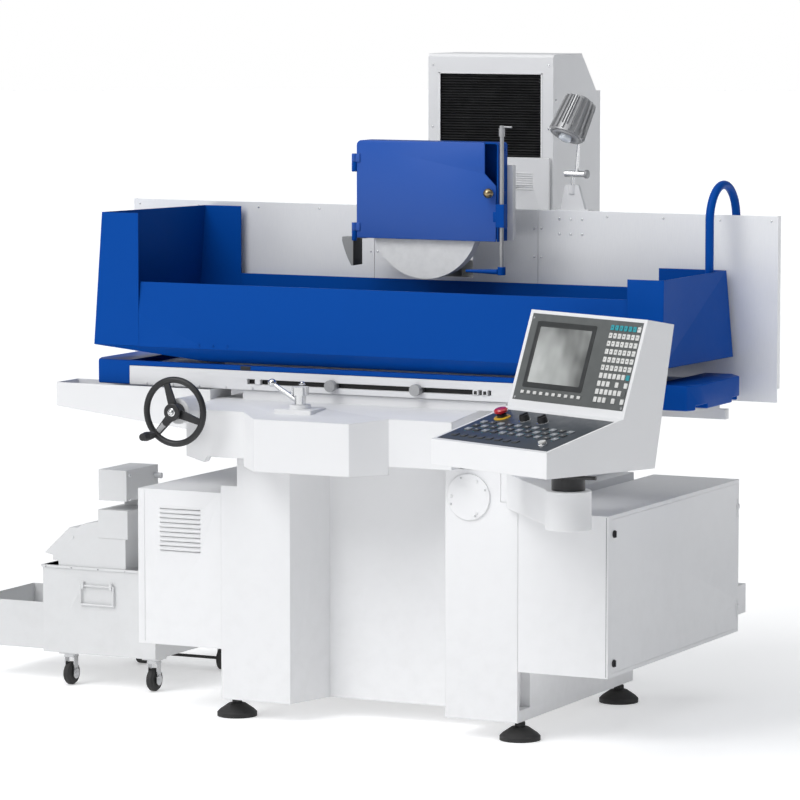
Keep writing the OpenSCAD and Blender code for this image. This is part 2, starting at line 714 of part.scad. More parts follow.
// Slide block on the column rails, spindle cartridge, front apron and guard flange
module head_slide() color(white) placed() difference() {
  union() {
    difference() {
      box([-head_half, head_half], [column_front - 4, rail_y[1] - 2], head_z);
      box([-head_half + 30, head_half - 30], [column_front + 30, rail_y[0] - 40],
          [head_z[0] + 30, head_z[1] - 30]);
      for (x = [-130, 130]) box([x - 22 - gap, x + 22 + gap], [rail_y[0] - gap, rail_y[1]],
                                [head_z[0] - 1, head_z[1] + 1]);
      rod_z(0, rail_y[0] + 17, [head_z[0] - 1, head_z[1] + 1], 26 + 2 * run);
    }
    box([-205, 205], [column_front - 14, column_front - 4], [spindle_z - 90, head_z[1]]);
    for (i = [0:7]) box([40, 150], [column_front - 16, column_front - 14],
                        [spindle_z + 70 + 7 * i, spindle_z + 72 + 7 * i]);
    rod_y(0, [50, column_front + 30], spindle_z, cartridge_d);
    box([-200, 267], [guard_back + 1, 50], flange_z);
    rod_y(0, [column_front + 30, rail_y[0] - 40], spindle_z, 220);
  }
  rod_y(0, [guard_back, column_front + 70], spindle_z, spindle_d + 2 * run);
}

// Blue wheel guard, open below and at the front where the door closes it
module guard_shell() color(blue) placed() difference() {
  union() {
    box([guard_left, guard_right], [-guard_front + 2 + gap, guard_back + 1], [guard_z, guard_top]);
    for (z = [guard_z - 9, guard_top - 95]) {
      rod_z(hinge_x, -hinge_y, [z, z + 29], 16);
      rod_z(hinge_x, -hinge_y, [z + 29, z + 54], 6);
      box([hinge_x, guard_left + 12], [-hinge_y + 3, -hinge_y + 8], [max(z, guard_z), z + 29]);
    }
    box([guard_right - 4, guard_right + 10], [-62, -12], [guard_z + 60, guard_z + 90]);
  }
  box([guard_left + 4, guard_right - 4], [-guard_front - 4, guard_back - 3],
      [guard_z - 1, guard_top - 4]);
  rod_y(0, [0, guard_back + 2], spindle_z, spindle_d + 40);
  rod_z(guard_right + 24, -60, [guard_z, guard_top], 12);
}

// Front door of the guard, with its cut-off corner
module guard_door() color(blue) placed() {
  difference() {
    union() {
      prism_y([-guard_front - 2, -guard_front + 2], [
        [guard_left, guard_z], [guard_right - 5, guard_z], [guard_right - 5, guard_z + 165],
        [guard_right - 42, guard_z + 201], [guard_right - 42, guard_top],
        [guard_left + 8, guard_top], [guard_left, guard_top - 8]]);
      for (z = [guard_z + 20 + gap, guard_top - 66 + gap])
        box([hinge_x, guard_left + 12], [-hinge_y - 4, -hinge_y], [z, z + 25]);
    }
    rod_y(guard_right - 22, [-guard_front - 3, -guard_front + 3], guard_z + 144, 10 + 2 * run);
    for (z = [guard_z + 19, guard_top - 67]) rod_z(hinge_x, -hinge_y, [z, z + 40], 6 + 2 * run);
  }
  for (z = [guard_z + 20 + gap, guard_top - 66 + gap]) difference() {
    rod_z(hinge_x, -hinge_y, [z, z + 29], 16);
    rod_z(hinge_x, -hinge_y, [z - 1, z + 30], 6 + 2 * run);
  }
}

module door_knob() color(steel) placed() {
  rod_y(guard_right - 22, [-guard_front - 12, -guard_front + 6], guard_z + 144, 10);
  translate([guard_right - 22, -guard_front - 20, guard_z + 144]) sphere(d = 30);
}

// Curved spark deflector at the left of the wheel
module spark_deflector() color(pale) placed() intersection() {
  rod_y(0, [-20, 20], spindle_z, 570);
  union() {
    box([-276, -239], [-20, -17], [spindle_z - 145, guard_z]);
    box([-242, -239], [-20, 20], [spindle_z - 145, guard_z]);
    box([-276, guard_left + 20], [-20, 20], [guard_z - 3, guard_z]);
  }
}

post_x = guard_right + 24;
nozzle_z = spindle_z - 143;

module coolant_post() color(steel) placed() {
  rod_z(post_x, -60, [nozzle_z + 12, guard_top + 20], 12);
  rod_z(post_x, -60, [guard_top + 20, guard_top + 44], 18);
}

// Clamp block on the guard, elbow and tapered spray nozzle
module coolant_nozzle() color(blue) placed() {
  difference() {
    box([guard_right + 10 + gap, post_x + 13], [-73, -47], [guard_z + 45, guard_z + 113]);
    rod_z(post_x, -60, [guard_z + 44, guard_z + 114], 12 + 2 * run);
  }
  rod_z(post_x, -60, [nozzle_z - 12, nozzle_z + 12], 24);
  translate([post_x - 12, -60, nozzle_z - 3]) rotate([0, -90, 0])
    cylinder(d1 = 16, d2 = 8, h = 104);
}

module coolant_tap() color(steel) placed() {
  rod_z(post_x, -60, [guard_top + 44 + gap, guard_top + 52], 14);
  rod_x([post_x, post_x + 32], -60, guard_top + 48, 5);
}

// Folded bellows that closes the window above the head
module upper_bellows() color(black) placed() {
  low = head_z[1] + gap;
  high = window_top - gap;
  pleats = 16;
  step = (high - low) / pleats;
  prism_x([-window_half + 1, window_half - 1], concat(
    [for (i = [0:pleats - 1], k = [0, 1]) [column_front + (k == 0 ? 8 : 0), low + step * (i + k / 2)]],
    [[column_front + 8, high], [column_front + 14, high], [column_front + 14, low]]));
}

// ---- Spindle --------------------------------------------------------------

module spindle() color(steel) placed() {
  difference() {
    union() {
      rod_y(0, [-wheel_w / 2 - 12, column_front + 58], spindle_z, spindle_d);
      rod_y(0, [wheel_w / 2, wheel_w / 2 + 8], spindle_z, spindle_d + 27);
    }
    rod_y(0, [-wheel_w / 2 - 13, -wheel_w / 2 - 4], spindle_z, 12);
  }
}

// Wheel on its two flanges
module grinding_wheel() color(pale) placed() {
  difference() {
    rod_y(0, [-wheel_w / 2, wheel_w / 2], spindle_z, wheel_d);
    rod_y(0, [-wheel_w / 2 - 1, wheel_w / 2 + 1], spindle_z, wheel_bore);
  }
  difference() {
    rod_y(0, [-wheel_w / 2 - 4, wheel_w / 2], spindle_z, wheel_bore - 2 * run);
    rod_y(0, [-wheel_w / 2 - 5, wheel_w / 2 + 1], spindle_z, spindle_d);
  }
}

// ---- Console ----------------------------------------------------------------

module at_console() placed() translate([post[0], post[1], console_z])
  rotate([0, 0, -console_turn]) translate([0, -console_reach, 0]) children();

// Places children on the sloped key face: X to the right, Y up the slope, Z outwards
module on_keys() translate([console_right - console_w, 0, key_top[1]]) rotate([key_tilt, 0, 0]) children();

// The same on the screen face
module on_screen() translate([console_right - console_w, key_back[0], key_back[1]]) rotate([screen_tilt, 0, 0])
  children();

key_plate = [[10, console_w - 12], [12, 270]];
screen_plate = [[12, console_w - 12], [22, 275]];

module console_shell() color(white) at_console() difference() {
  prism_x([console_right - console_w, console_right], console_face);
  prism_x([console_right - console_w + console_wall, console_right - console_wall],
          inset(console_face, console_wall));
  on_keys() {
    box(key_plate[0], key_plate[1], [-panel_t, 5]);
    for (p = concat([e_stop_at], knob_at, [button_at]))
      translate([p[0], p[1], -20]) cylinder(d = 18, h = 25);
  }
  on_screen() box(screen_plate[0], screen_plate[1], [-panel_t, 5]);
}

e_stop_at = [75, 205];
knob_at = [[170, 205], [245, 205]];
button_at = [410, 50];

// Key face and screen bezel with their fixed keys and the glass
module console_panel() color(grey) at_console() {
  on_keys() difference() {
    union() {
      box([key_plate[0][0] + gap, key_plate[0][1] - gap], [key_plate[1][0] + gap, key_plate[1][1] - gap],
          [-panel_t, 0]);
      for (i = [0:10], j = [0:2]) box([40 + 36 * i, 60 + 36 * i], [90 + 30 * j, 106 + 30 * j], [0, 3]);
      for (i = [0:7]) box([40 + 36 * i, 60 + 36 * i], [40, 56], [0, 3]);
    }
    for (p = concat([e_stop_at], knob_at, [button_at]))
      translate([p[0], p[1], -panel_t - 1]) cylinder(d = 16 + 2 * run, h = panel_t + 5);
  }
  on_screen() {
    difference() {
      box([screen_plate[0][0] + gap, screen_plate[0][1] - gap],
          [screen_plate[1][0] + gap, screen_plate[1][1] - gap], [-panel_t, 0]);
      box([54, 273], [74, 240], [-1, 1]);
    }
    for (i = [0:6], j = [0:9]) if (!(j < 3 && (i == 3 || i == 5)))
      box([344 + 18 * i, 356 + 18 * i], [40 + 23 * j, 54 + 23 * j], [0, 2.5]);
    for (i = [0:9]) box([42 + 26 * i, 54 + 26 * i], [42, 50], [0, 2.5]);
  }
}

module e_stop() color("firebrick") at_console() on_keys() translate([e_stop_at[0], e_stop_at[1], 0]) {
  translate([0, 0, -panel_t]) cylinder(d = 16, h = 18);
  translate([0, 0, 15]) rotate_extrude() polygon([[0, 0], [12, 0], [20, 3], [20, 9], [16, 13], [0, 14]]);
}

module panel_knob(p) color(black) at_console() on_keys() translate([p[0], p[1], 0]) {
  translate([0, 0, -panel_t]) cylinder(d = 16, h = panel_t + 3);
  translate([0, 0, 2]) cylinder(d1 = 30, d2 = 26, h = 16);
  translate([-3, -13, 18]) cube([6, 26, 3]);
}

module cycle_button() color("white") at_console() on_keys() translate([button_at[0], button_at[1], 0]) {
  translate([0, 0, -panel_t]) cylinder(d = 16, h = panel_t + 8);
  translate([0, 0, 8]) cylinder(d = 22, h = 4);
}

// Clamp lever on a stud in the front of the collar
module console_clamp() color(black) placed() {
  rod_y(post[0], [post[1] - 60, post[1] - 30], clamp_z, 12);
  rod_y(post[0], [post[1] - 62, post[1] - 50], clamp_z, 17);
  bar([post[0], post[1] - 56, clamp_z], [post[0] + 108, post[1] - 56, clamp_z + 2], 11, 11.5);
}

// ---- Lamp -------------------------------------------------------------------

module lamp_bracket() color(white) placed() difference() {
  union() {
    box([lamp_x - 50, lamp_x + 55], [lamp_y - 8, lamp_y + 30], [plate_z[1], plate_z[1] + 4]);
    prism_y([lamp_y - 8, lamp_y + 4], [[lamp_x - 36, plate_z[1] + 4], [lamp_x - 22, plate_z[1] + 76],
      [lamp_x + 22, plate_z[1] + 76], [lamp_x + 44, plate_z[1] + 4]]);
    rod_z(lamp_x, lamp_y, [plate_z[1] + 50, plate_z[1] + 76], 26);
  }
  rod_z(lamp_x, lamp_y, [plate_z[1] + 56, plate_z[1] + 77], 12 + 2 * run);
}

module lamp_arm() color(steel) placed() {
  rod_z(lamp_x, lamp_y, [plate_z[1] + 58, lamp_joint_z], 12);
  rod_x([lamp_x - 24, lamp_x + 40], lamp_y, lamp_joint_z, 20);
  translate([lamp_x + 12, lamp_y, lamp_joint_z]) rotate([8, 8, 0]) cylinder(d1 = 14, d2 = 7, h = 112);
  rod_x([lamp_top[0] - 14, lamp_top[0] + 14], lamp_top[1], lamp_top[2], 8);
}

// Finned lamp head with its lens, tilted towards the wheel
module lamp_head() color(steel) placed() translate(lamp_top) {
  for (x = [-11, 11]) difference() {
    union() {
      rod_x([x - 3, x + 3], 0, 0, 22);
      box([x - 3, x + 3], [-24, 0], [-8, 8]);
    }
    rod_x([x - 4, x + 4], 0, 0, 8 + 2 * run);
  }
  translate([-14, -66, 8]) rotate([-28, 13, 0]) {
    difference() {
      union() {
        cylinder(d1 = 100, d2 = 84, h = 118);
        for (a = [0:22.5:359]) rotate([0, 0, a])
          prism_y([-2, 2], [[30, 6], [56, 6], [48, 118], [30, 118]]);
        box([-14, 30], [30, 50], [8, 40]);
      }
      translate([0, 0, -1]) cylinder(d = 84, h = 30);
    }
    translate([0, 0, 12]) cylinder(d = 84, h = 5);
  }
}

// ---- Coolant unit -------------------------------------------------------------

// Tank on its chassis, with the swarf tray at the left
module coolant_tank() color(pale) placed() {
  difference() {
    union() {
      box([tank_left, tank_right], [tank_front, tank_front + tank_depth], tank_z);
      box([tank_left - 4, tank_right + 4], [tank_front - 4, tank_front + tank_depth + 4],
          [tank_z[1] - 8, tank_z[1]]);
    }
    box([tank_left + sheet, tank_right - sheet], [tank_front + sheet, tank_front + tank_depth - sheet],
        [tank_z[0] + sheet, tank_z[1] + 1]);
  }
  difference() {
    box([swarf_left, tank_left - 4 - gap], [tank_front + 60, tank_front + 420], [102, 249]);
    box([swarf_left + sheet, tank_left - 4 - gap - sheet], [tank_front + 60 + sheet, tank_front + 420 - sheet],
        [102 + sheet, 250]);
  }
  for (x = [tank_left + 54, tank_right - 112])
    box([x, x + 8], [tank_front, tank_front + tank_depth], [tank_z[1] - 10, tank_z[1]]);
  for (y = [tank_front + 100, tank_front + 360])
    box([tank_left - 5, tank_left], [y, y + 40], [140, 200]);
  for (x = castor_x) {
    box([x - 28, x + 28], [castor_y - 28, castor_y + 28], [tank_z[0] - 6, tank_z[0]]);
    for (s = [-1, 1]) difference() {
      box([x + 16 * s - 2, x + 16 * s + 2], [rear_castor_y - 16, rear_castor_y + 16],
          [castor_d / 2 - 12, tank_z[0]]);
      rod_x([x - 20, x + 20], rear_castor_y, castor_d / 2, 10 + 2 * run);
    }
  }
  for (x = [-1128, -1028]) difference() {
    box([x - 4, x + 4], [tank_front - 12, tank_front], [312, 334]);
    rod_x([x - 5, x + 5], tank_front - 7, 322, 6 + 2 * run);
  }
}

// Magnetic separator: drum housing with a sloped chute, and the drive and inlet boxes
module separator() color(pale) placed() {
  y0 = tank_front + 2;
  prism_y([y0, y0 + 240], [[-1240, 395], [-1240, 410], [-1270, 416], [-1180, 500], [-1150, 500],
    [-1130, 514], [-1080, 522], [-980, 522], [-980, tank_z[1]], [-1220, tank_z[1]], [-1220, 395]]);
  cabinet([-1076, -971], [tank_front, tank_front + 190], [473, 562], sheet);
  cabinet([-1073, -974], [tank_front, tank_front + 200], [591, 687], sheet);
  box([-1050, -1000], [tank_front + 120, tank_front + 170], [562, 591]);
  rod_x([-974, -950], tank_front + 180, 655, 18);
  rod_y(-1168, [y0 - 2, y0], 469, 9);
}

module tank_handle() color(pale) placed() {
  y = tank_front - 7;
  rod_x([-1139, -1017], y, 322, 6);
  for (x = [-1136, -1020]) rod_z(x, y, [263, 322], 6);
  rod_x([-1139, -1017], y, 263, 6);
}

module caster_fork(x) color(pale) placed() difference() {
  union() {
    rod_z(x, castor_y, [tank_z[0] - 12, tank_z[0] - 6 - gap], 44);
    box([x - 17, x + 17], [castor_y - 16, castor_y + 16], [tank_z[0] - 18, tank_z[0] - 12]);
    for (s = [-1, 1]) box([x + 16 * s - 1.5, x + 16 * s + 1.5], [castor_y - 12, castor_y + 12],
                          [castor_d / 2 - 10, tank_z[0] - 12]);
  }
  rod_x([x - 20, x + 20], castor_y, castor_d / 2, 10 + 2 * run);
}

module caster_wheel(x) color(black) placed() {
  translate([x, castor_y, castor_d / 2]) rotate([0, 90, 0]) rotate_extrude()
    polygon([[0, -12], [castor_d / 2 - 5, -12], [castor_d / 2, -6], [castor_d / 2, 6],
             [castor_d / 2 - 5, 12], [0, 12]]);
  rod_x([x - 18, x + 18], castor_y, castor_d / 2, 10);
}

module rear_wheels() color(black) placed() {
  for (x = castor_x) rod_x([x - 12, x + 12], rear_castor_y, castor_d / 2, castor_d);
  rod_x([castor_x[0] - 20, castor_x[1] + 20], rear_castor_y, castor_d / 2, 10);
}

base_casting();
levelling_feet();
inspection_cover();
left_cabinet();
right_cabinet();
guideways();
column();
column_cover();
console_bracket();
console_collar();
hydraulic_unit();
cabinet_door();
latch(latch_z[1]);  // latch_upper
latch(latch_z[0]);  // latch_lower
cross_screw();
elevation_screw();
saddle();
splash_plate();
left_trough();
lamp_bracket();
speed_lever();
handwheel();
crank_grip();
table();
magnetic_chuck();
tray_pan();
left_hood();
right_hood();
end_covers();
conduit_arch();
trip_dog(-167);  // dog_left
trip_dog(112);  // dog_right
head_slide();
guard_shell();
spark_deflector();
coolant_post();
coolant_nozzle();
upper_bellows();
guard_door();
door_knob();
coolant_tap();
spindle();
grinding_wheel();
console_shell();
console_panel();
e_stop();
panel_knob(knob_at[0]);  // feed_knob
panel_knob(knob_at[1]);  // mode_knob
cycle_button();
console_clamp();
lamp_arm();
lamp_head();
coolant_tank();
separator();
tank_handle();
caster_fork(castor_x[0]);  // caster_fork_1
caster_fork(castor_x[1]);  // caster_fork_2
caster_wheel(castor_x[0]);  // caster_wheel_1
caster_wheel(castor_x[1]);  // caster_wheel_2
rear_wheels();
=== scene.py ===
import json
import math

import bmesh
import bpy
import numpy as np
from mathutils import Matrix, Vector

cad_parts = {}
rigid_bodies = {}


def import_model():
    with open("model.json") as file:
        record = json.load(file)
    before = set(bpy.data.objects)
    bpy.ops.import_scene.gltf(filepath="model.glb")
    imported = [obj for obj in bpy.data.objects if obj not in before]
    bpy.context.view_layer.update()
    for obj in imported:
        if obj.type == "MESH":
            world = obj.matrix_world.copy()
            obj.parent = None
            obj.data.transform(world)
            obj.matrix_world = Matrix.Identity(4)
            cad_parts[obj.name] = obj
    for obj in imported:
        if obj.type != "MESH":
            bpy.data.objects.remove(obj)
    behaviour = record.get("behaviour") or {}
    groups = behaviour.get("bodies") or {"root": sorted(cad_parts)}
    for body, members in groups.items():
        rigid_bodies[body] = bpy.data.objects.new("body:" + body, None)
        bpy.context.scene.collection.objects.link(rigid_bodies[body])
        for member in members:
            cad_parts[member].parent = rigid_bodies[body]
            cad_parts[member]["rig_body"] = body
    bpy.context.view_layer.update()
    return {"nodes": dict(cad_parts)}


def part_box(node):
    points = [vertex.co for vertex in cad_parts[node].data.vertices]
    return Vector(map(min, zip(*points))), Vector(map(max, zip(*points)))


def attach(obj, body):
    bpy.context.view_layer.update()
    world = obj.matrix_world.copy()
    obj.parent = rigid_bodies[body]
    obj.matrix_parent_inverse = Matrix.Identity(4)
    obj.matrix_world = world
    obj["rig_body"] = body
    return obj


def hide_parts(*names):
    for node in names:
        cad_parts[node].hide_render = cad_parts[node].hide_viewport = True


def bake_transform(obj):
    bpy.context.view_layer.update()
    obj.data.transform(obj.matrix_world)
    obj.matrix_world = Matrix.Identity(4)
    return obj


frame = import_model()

# Surface grinder with its coolant unit.
# Shapes are worked out in millimetres from the grinding wheel's centre (X along the table,
# Y away from the operator) with Z above the floor, and placed in metres in the model's frame.

TAU = 2 * math.pi
wheel_lo, wheel_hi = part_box("grinding_wheel")
WHEEL_BACK = 20
MACHINE = np.array([(wheel_lo.x + wheel_hi.x) / 2, wheel_hi.y - WHEEL_BACK / 1000, 0.0])


def box_mm(node):
    """Lowest and highest corner of a CAD node, in millimetres from the wheel's centre."""
    lo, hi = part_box(node)
    return (np.array(lo) - MACHINE) * 1000, (np.array(hi) - MACHINE) * 1000


# ---- Node groups -----------------------------------------------------------------------

def group(name, inputs, outputs):
    """New shader node group with float or colour inputs and named outputs."""
    tree = bpy.data.node_groups.new(name, "ShaderNodeTree")
    for label, value in inputs.items():
        kind = "NodeSocketColor" if isinstance(value, tuple) else "NodeSocketFloat"
        s = tree.interface.new_socket(label, in_out="INPUT", socket_type=kind)
        s.default_value = (*value, 1.0) if isinstance(value, tuple) else value
    for label, kind in outputs.items():
        tree.interface.new_socket(label, in_out="OUTPUT", socket_type=kind)
    return tree, tree.nodes.new("NodeGroupInput"), tree.nodes.new("NodeGroupOutput")


class Wires:
    """Short calls that add nodes to a tree and join them."""

    def __init__(self, tree):
        self.tree = tree

    def add(self, kind, inputs=(), **facts):
        n = self.tree.nodes.new(kind)
        for key, value in facts.items():
            setattr(n, key, value)
        for socket, value in dict(inputs).items():
            if isinstance(value, bpy.types.NodeSocket):
                self.tree.links.new(value, n.inputs[socket])
            elif isinstance(value, tuple) and n.inputs[socket].type == "RGBA":
                n.inputs[socket].default_value = (*value, 1.0)
            else:
                n.inputs[socket].default_value = value
        return n

    def noise(self, where, scale, detail=2.0, rough=0.5):
        return self.add("ShaderNodeTexNoise", {"Vector": where, "Scale": scale, "Detail": detail,
                                               "Roughness": rough}).outputs["Fac"]

    def maths(self, operation, a, b=0.0):
        return self.add("ShaderNodeMath", {0: a, 1: b}, operation=operation).outputs[0]

    def span(self, value, low, high, to_low=0.0, to_high=1.0):
        return self.add("ShaderNodeMapRange", {"Value": value, "From Min": low, "From Max": high,
                        "To Min": to_low, "To Max": to_high}).outputs["Result"]

    def mix(self, share, a, b):
        n = self.add("ShaderNodeMix", {}, data_type="RGBA")
        for socket, value in ((n.inputs[0], share), (n.inputs[6], a), (n.inputs[7], b)):
            if isinstance(value, bpy.types.NodeSocket):
                self.tree.links.new(value, socket)
            else:
                socket.default_value = (*value, 1.0) if isinstance(value, tuple) else value
        return n.outputs[2]

    def scaled(self, where, scale):
        return self.add("ShaderNodeMapping", {"Vector": where, "Scale": scale}).outputs["Vector"]

    def place(self):
        return self.add("ShaderNodeTexCoord").outputs["Object"]


def paint_group():
    """Sprayed paint: fine orange peel, faint clouds of tone, and dust that gathers low down."""
    tree, gi, go = group(
        "sprayed_paint",
        {"Colour": (0.8, 0.8, 0.8), "Second Colour": (0.7, 0.7, 0.7), "Peel Scale": 400.0,
         "Cloud": 0.3, "Dust": 0.2, "Rough Low": 0.35, "Rough High": 0.5},
        {"Colour": "NodeSocketColor", "Roughness": "NodeSocketFloat", "Height": "NodeSocketFloat"})
    w = Wires(tree)
    at = w.place()
    clouds = w.noise(at, 2.3, 4.0, 0.6)
    patches = w.noise(at, 23.0, 3.0, 0.6)
    peel = w.noise(at, gi.outputs["Peel Scale"], 2.0, 0.5)
    share = w.maths("MULTIPLY", w.span(clouds, 0.3, 0.75), gi.outputs["Cloud"])
    toned = w.mix(share, gi.outputs["Colour"], gi.outputs["Second Colour"])
    height = w.add("ShaderNodeSeparateXYZ", {"Vector": at}).outputs["Z"]
    low = w.span(height, 0.75, 0.05)
    dirt = w.maths("MULTIPLY", w.maths("MULTIPLY", low, w.span(patches, 0.42, 0.78)), gi.outputs["Dust"])
    dusty = w.mix(dirt, toned, (0.34, 0.33, 0.31))
    rough = w.maths("ADD", w.span(patches, 0.3, 0.7, 0.0, 0.06), gi.outputs["Rough Low"])
    spread = w.maths("SUBTRACT", gi.outputs["Rough High"], gi.outputs["Rough Low"])
    rough = w.maths("ADD", rough, w.maths("MULTIPLY", spread, w.span(clouds, 0.35, 0.7)))
    tree.links.new(dusty, go.inputs["Colour"])
    tree.links.new(rough, go.inputs["Roughness"])
    tree.links.new(peel, go.inputs["Height"])
    return tree


def brushed_group():
    """Brushed or ground metal: long fine scratches, stretched along one axis by the given scales."""
    tree, gi, go = group(
        "brushed_grain",
        {"Colour": (0.6, 0.6, 0.6), "Second Colour": (0.5, 0.5, 0.5), "Scale X": 40.0,
         "Scale Y": 900.0, "Scale Z": 900.0, "Rough Low": 0.25, "Rough High": 0.4},
        {"Colour": "NodeSocketColor", "Roughness": "NodeSocketFloat", "Height": "NodeSocketFloat"})
    w = Wires(tree)
    at = w.place()
    scales = w.add("ShaderNodeCombineXYZ", {"X": gi.outputs["Scale X"], "Y": gi.outputs["Scale Y"],
                                            "Z": gi.outputs["Scale Z"]}).outputs["Vector"]
    along = w.add("ShaderNodeVectorMath", {0: at, 1: scales}, operation="MULTIPLY").outputs["Vector"]
    scratch = w.noise(along, 1.0, 3.0, 0.65)
    marks = w.noise(at, 7.0, 4.0, 0.6)
    tone = w.mix(w.span(scratch, 0.3, 0.7), gi.outputs["Colour"], gi.outputs["Second Colour"])
    spread = w.maths("SUBTRACT", gi.outputs["Rough High"], gi.outputs["Rough Low"])
    worn = w.maths("MULTIPLY", w.span(marks, 0.35, 0.7), spread)
    tree.links.new(tone, go.inputs["Colour"])
    tree.links.new(w.maths("ADD", gi.outputs["Rough Low"], worn), go.inputs["Roughness"])
    tree.links.new(scratch, go.inputs["Height"])
    return tree


def moulded_group():
    """Moulded plastic or rubber: a fine pebble grain, with dull rubbed patches."""
    tree, gi, go = group(
        "moulded_grain",
        {"Colour": (0.03, 0.03, 0.03), "Second Colour": (0.06, 0.06, 0.06), "Grain Scale": 900.0,
         "Rough Low": 0.35, "Rough High": 0.55},
        {"Colour": "NodeSocketColor", "Roughness": "NodeSocketFloat", "Height": "NodeSocketFloat"})
    w = Wires(tree)
    at = w.place()
    grain = w.add("ShaderNodeTexVoronoi", {"Vector": at, "Scale": gi.outputs["Grain Scale"]},
                  feature="SMOOTH_F1").outputs["Distance"]
    rubbed = w.noise(at, 31.0, 4.0, 0.6)
    tone = w.mix(w.span(rubbed, 0.4, 0.75), gi.outputs["Colour"], gi.outputs["Second Colour"])
    spread = w.maths("SUBTRACT", gi.outputs["Rough High"], gi.outputs["Rough Low"])
    worn = w.maths("MULTIPLY", w.span(rubbed, 0.3, 0.7), spread)
    tree.links.new(tone, go.inputs["Colour"])
    tree.links.new(w.maths("ADD", gi.outputs["Rough Low"], worn), go.inputs["Roughness"])
    tree.links.new(grain, go.inputs["Height"])
    return tree


GROUPS = {"paint": paint_group(), "brushed": brushed_group(), "moulded": moulded_group()}


def material(name, kind, values, bump=0.1, reach=0.0004, soft_edge=0.0, **shader):
    """Principled material whose colour, roughness and bump come from one of the groups."""
    m = bpy.data.materials.new(name)
    m.use_nodes = True
    w = Wires(m.node_tree)
    bsdf = m.node_tree.nodes["Principled BSDF"]
    g = w.add("ShaderNodeGroup", {}, node_tree=GROUPS[kind])
    for label, value in values.items():
        g.inputs[label].default_value = (*value, 1.0) if isinstance(value, tuple) else value
    b = w.add("ShaderNodeBump", {"Strength": bump, "Distance": reach, "Height": g.outputs["Height"]})
    if soft_edge:
        rounded = w.add("ShaderNodeBevel", {"Radius": soft_edge}, samples=4)
        m.node_tree.links.new(rounded.outputs["Normal"], b.inputs["Normal"])
    m.node_tree.links.new(g.outputs["Colour"], bsdf.inputs["Base Color"])
    m.node_tree.links.new(g.outputs["Roughness"], bsdf.inputs["Roughness"])
    m.node_tree.links.new(b.outputs["Normal"], bsdf.inputs["Normal"])
    for label, value in shader.items():
        bsdf.inputs[label.replace("_", " ")].default_value = value
    m.diffuse_color = (*values["Colour"], 1.0)
    return m


def paint(name, colour, second, peel=420.0, cloud=0.35, dust=0.2, rough=(0.34, 0.44), **more):
    return material(name, "paint", {"Colour": colour, "Second Colour": second, "Peel Scale": peel,
                    "Cloud": cloud, "Dust": dust, "Rough Low": rough[0], "Rough High": rough[1]}, **more)


def metal(name, colour, second, scales, rough=(0.22, 0.36), metallic=1.0, **more):
    return material(name, "brushed", {"Colour": colour, "Second Colour": second, "Scale X": scales[0],
                    "Scale Y": scales[1], "Scale Z": scales[2], "Rough Low": rough[0],
                    "Rough High": rough[1]}, Metallic=metallic, **more)


def plastic(name, colour, second, grain=900.0, rough=(0.35, 0.55), **more):
    return material(name, "moulded", {"Colour": colour, "Second Colour": second, "Grain Scale": grain,
                    "Rough Low": rough[0], "Rough High": rough[1]}, **more)


